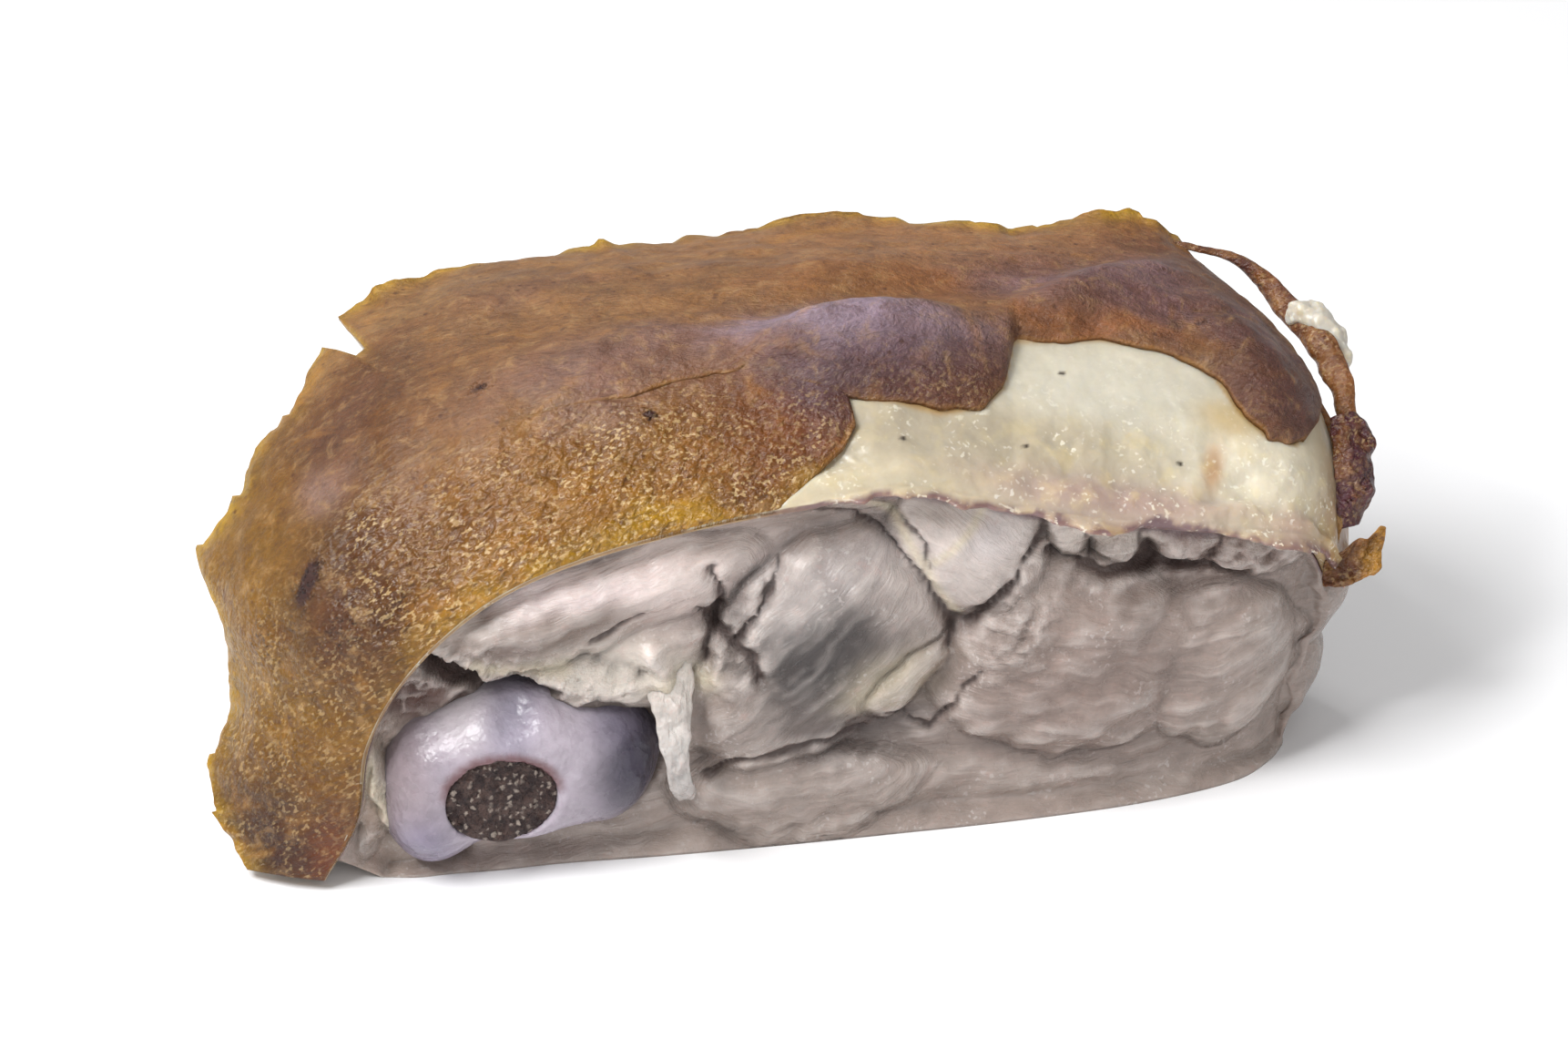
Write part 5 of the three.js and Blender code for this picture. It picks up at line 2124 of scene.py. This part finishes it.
@dataclass
class Curls:
    """The loose strips of crackling at the right end, the bead of fat and the tendon."""

    loop: Strip = Strip(
        "loose_loop",
        (
            (57, 33, 66), (64.5, 33.5, 65), (71.5, 32, 63.4), (77.4, 27, 59.6), (82, 20, 57),
            (85.4, 12, 53.6), (86.6, 3, 48.6),
        ),
        (0.8, -0.1, 0.5), (1.6, 2.0, 4.4, 5.2, 4), 1.0, (150, 30, 6), curl=-0.7, rough=0.28, notch=0.12,
    )
    flake: Strip = Strip(
        "dark_flake", ((85.4, 0, 54.6), (87.2, -4, 50.8), (87.2, -7.6, 45.8), (86, -10.6, 40.6)),
        (0.9, 0.35, 0), (5.5, 7.6, 7.4, 5.4), 0.9, (90, 36, 4), tip=0.8, curl=-0.9, rough=0.6, notch=0.14,
    )
    membrane: Strip = Strip(
        "caramel_membrane", ((80.4, 7, 54.2), (81.8, 0, 50), (81.8, -7.4, 43.8), (81, -13, 37.8)),
        (0.85, -0.5, 0), (5, 8, 8.4, 7), 0.9, (90, 30, 4), tip=0.8, curl=-0.8, rough=0.4, notch=0.08,
    )
    spur: Strip = Strip(
        "crisp_spur", ((82, -14.5, 35), (85.2, -13.9, 35.6), (88.2, -12.9, 36.4), (91, -11.9, 37.8)),
        (0.1, 0.35, 0.93), (5.5, 8, 6.4, 8.4), 0.9, (80, 40, 4), tip=0.7, curl=1.2, rough=0.6, notch=0.22,
    )
    tendon: Strip = Strip(
        "tendon",
        (
            (-19, -33, 38), (-17.6, -38.6, 32), (-16.6, -43.6, 26), (-15.9, -46, 20),
            (-15.2, -43.5, 14.5), (-14.8, -37, 9),
        ),
        (1, 0.1, 0), (10, 8, 5, 3.4, 3.2, 3), 1.4, (130, 20, 6), tip=0.92, rough=0.5, notch=0.14,
    )
    bead_knobs: tuple[tuple[Point, float], ...] = (  # middles and radii
        ((80.2, 24.5, 58.8), 2.2), ((82.8, 23.5, 57.6), 2.8), ((85, 21.5, 55.6), 2.6),
        ((86.4, 19.5, 53.6), 2.0),
    )

    def build_skin(self, finish: bpy.types.Material) -> None:
        """Builds the strips of skin.

        Args:
            finish: The material they wear.
        """
        looks = (
            (self.loop, seen(100, 68, 64), seen(138, 92, 58)),
            (self.flake, seen(84, 48, 52), seen(96, 66, 72)),
            (self.membrane, seen(150, 98, 52), seen(176, 134, 84)),
            (self.spur, seen(104, 68, 52), seen(178, 130, 60)),
        )
        for strip, first, last in looks:
            points, faces, u, v = strip.block()
            edge = 1 - 2 * np.abs(v - 0.5)
            shift = np.clip(u + 0.35 * Lumps(43).at(points, 4, 3), 0, 1)
            paints = {
                "tint": stained(first, (last, smooth(shift))),
                "wet": np.full(len(u), 0.5),
                "wrinkled": np.full(len(u), 0.4),
                "rim": bell(edge / 0.22) * (0.7 if strip is self.loop else 0.25),
                "char": np.clip(Lumps(44).at(points, 3, 3), 0, 1) * (0.5 if strip is self.flake else 0.25),
            }
            Piece(strip.name, points, faces, finish, "crackling", paints).make()

    def build_bead(self, finish: bpy.types.Material) -> None:
        """Builds the bead of fat.

        Args:
            finish: The material it wears.
        """

        def bead(points: Array) -> Array:
            """Finds the distance from the lumpy bead.

            Args:
                points: The points it is found for.

            Returns:
                The distance of each point, negative inside.
            """
            made = None
            for at, radius in self.bead_knobs:
                knob = np.linalg.norm(points - np.array(at), axis=-1) - radius
                made = knob if made is None else Knuckle.melt(made, knob, 1.2)
            return made + Lumps(45).at(points, 3, 3) * 0.6

        places = np.array([at for at, _ in self.bead_knobs])
        points, faces = wrapped(bead, places.min(0) - 4.5, places.max(0) + 4.5, 0.3)
        colour = np.broadcast_to(np.array(seen(204, 198, 186)), points.shape)
        paints = {"tint": colour, "beaded": np.ones(len(points)), "speck": np.zeros(len(points))}
        Piece("fat_bead", points, faces, finish, "crackling", paints).make()

    def build_tendon(self, finish: bpy.types.Material) -> None:
        """Builds the strand of tendon beside the knuckle.

        Args:
            finish: The material it wears.
        """
        points, faces, u, v = self.tendon.block()
        colour = stained(seen(190, 180, 170), (seen(192, 186, 182), smooth(u / 0.6)))
        paints = {
            # a little darker along its sides
            "tint": colour, "seam": bell((1 - 2 * np.abs(v - 0.5)) / 0.12) * 0.1, "ragged": u * 0 + 0.3,
            "run": points[:, 2], "cross": points[:, 0], "depth": points[:, 1] * Haunch.SHORT,
        }
        Piece(self.tendon.name, points, faces, finish, "meat", paints).make()


# ---- studio


class Softness(Enum):
    """The size of a studio light in metres."""

    BROAD = 0.9
    LARGE = 0.42
    MEDIUM = 0.26
    SMALL = 0.14


@dataclass(frozen=True)
class Lamp:
    """A studio light: its place in metres, its power in watts and how soft it is."""

    name: str
    at: tuple[float, float, float]
    power: float
    softness: Softness

    def make(self, aim: Vector) -> None:
        """Hangs the light.

        Args:
            aim: The place it shines at, in metres.
        """
        data = bpy.data.lights.new(self.name, "AREA")
        data.energy, data.size = self.power, self.softness.value
        lamp = placed(self.name, data)
        lamp.location = self.at
        lamp.rotation_euler = (aim - Vector(self.at)).to_track_quat("-Z", "Y").to_euler()


@dataclass
class Studio:
    """The floor, the lights and the camera."""

    lamps: tuple[Lamp, ...] = (
        Lamp("key", (-0.42, -0.3, 0.8), 8.8, Softness.LARGE),
        Lamp("sheen", (-0.3, 0.5, 0.7), 1.6, Softness.MEDIUM),
        Lamp("glint", (-0.42, -0.52, 0.74), 2.2, Softness.SMALL),
        Lamp("front", (0.35, -0.9, 0.45), 2.6, Softness.BROAD),
    )
    sky: float = 0.42  # strength of the even light all round
    elevation: float = 30.0  # of the camera over the floor, in degrees
    distance: float = 1.05
    lens: float = 156.5
    film: float = 36.0  # width of the camera's sensor in millimetres
    aim_height: float = 0.035
    floor_half: float = 2.5
    clip: tuple[float, float] = (0.05, 20.0)  # how near and how far the camera sees

    def build(self) -> None:
        """Sets up the studio."""
        aim = Vector((TO_CENTRE[0] * MM, TO_CENTRE[1] * MM, self.aim_height))
        half = self.floor_half
        mesh = bpy.data.meshes.new("floor")
        corners = [(-half, -half, 0), (half, -half, 0), (half, half, 0), (-half, half, 0)]
        mesh.from_pydata(corners, [], [(0, 1, 2, 3)])
        mesh.materials.append(FloorFinish().make())
        floor = placed("floor", mesh)
        world = bpy.data.worlds.new("studio")
        world.use_nodes = True
        background = world.node_tree.nodes["Background"]
        background.inputs["Color"].default_value = (1, 1, 1, 1)
        background.inputs["Strength"].default_value = self.sky
        bpy.context.scene.world = world
        for lamp in self.lamps:
            lamp.make(aim)
        data = bpy.data.cameras.new("camera")
        data.lens, data.sensor_width = self.lens, self.film
        camera = placed("camera", data)
        tilt = math.radians(self.elevation)
        back = Vector((0, -math.cos(tilt), math.sin(tilt)))
        camera.location = aim + back * self.distance
        camera.rotation_euler = (-back).to_track_quat("-Z", "Y").to_euler()
        data.clip_start, data.clip_end = self.clip
        bpy.context.scene.camera = camera
        bpy.context.scene.view_settings.view_transform = "Standard"
        LOG.info("studio: %d lamps", len(self.lamps))


def main() -> None:
    """Builds every piece of the portion, then the studio."""
    logging.basicConfig(level=logging.INFO, format="%(name)s %(message)s")
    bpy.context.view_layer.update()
    roof = Roof()
    skin, fat, pork = SkinFinish().make(), FatFinish().make(), MeatFinish().make()
    Crackling(roof).build(skin)
    Fat(roof).build(fat)
    Haunch(roof).build(pork)
    knuckle = Knuckle()
    knuckle.build(BoneFinish().make())
    knuckle.build_marrow(MarrowFinish().make())
    curls = Curls()
    curls.build_skin(skin)
    curls.build_bead(fat)
    curls.build_tendon(pork)
    Studio().build()


if __name__ == "__main__":
    main()
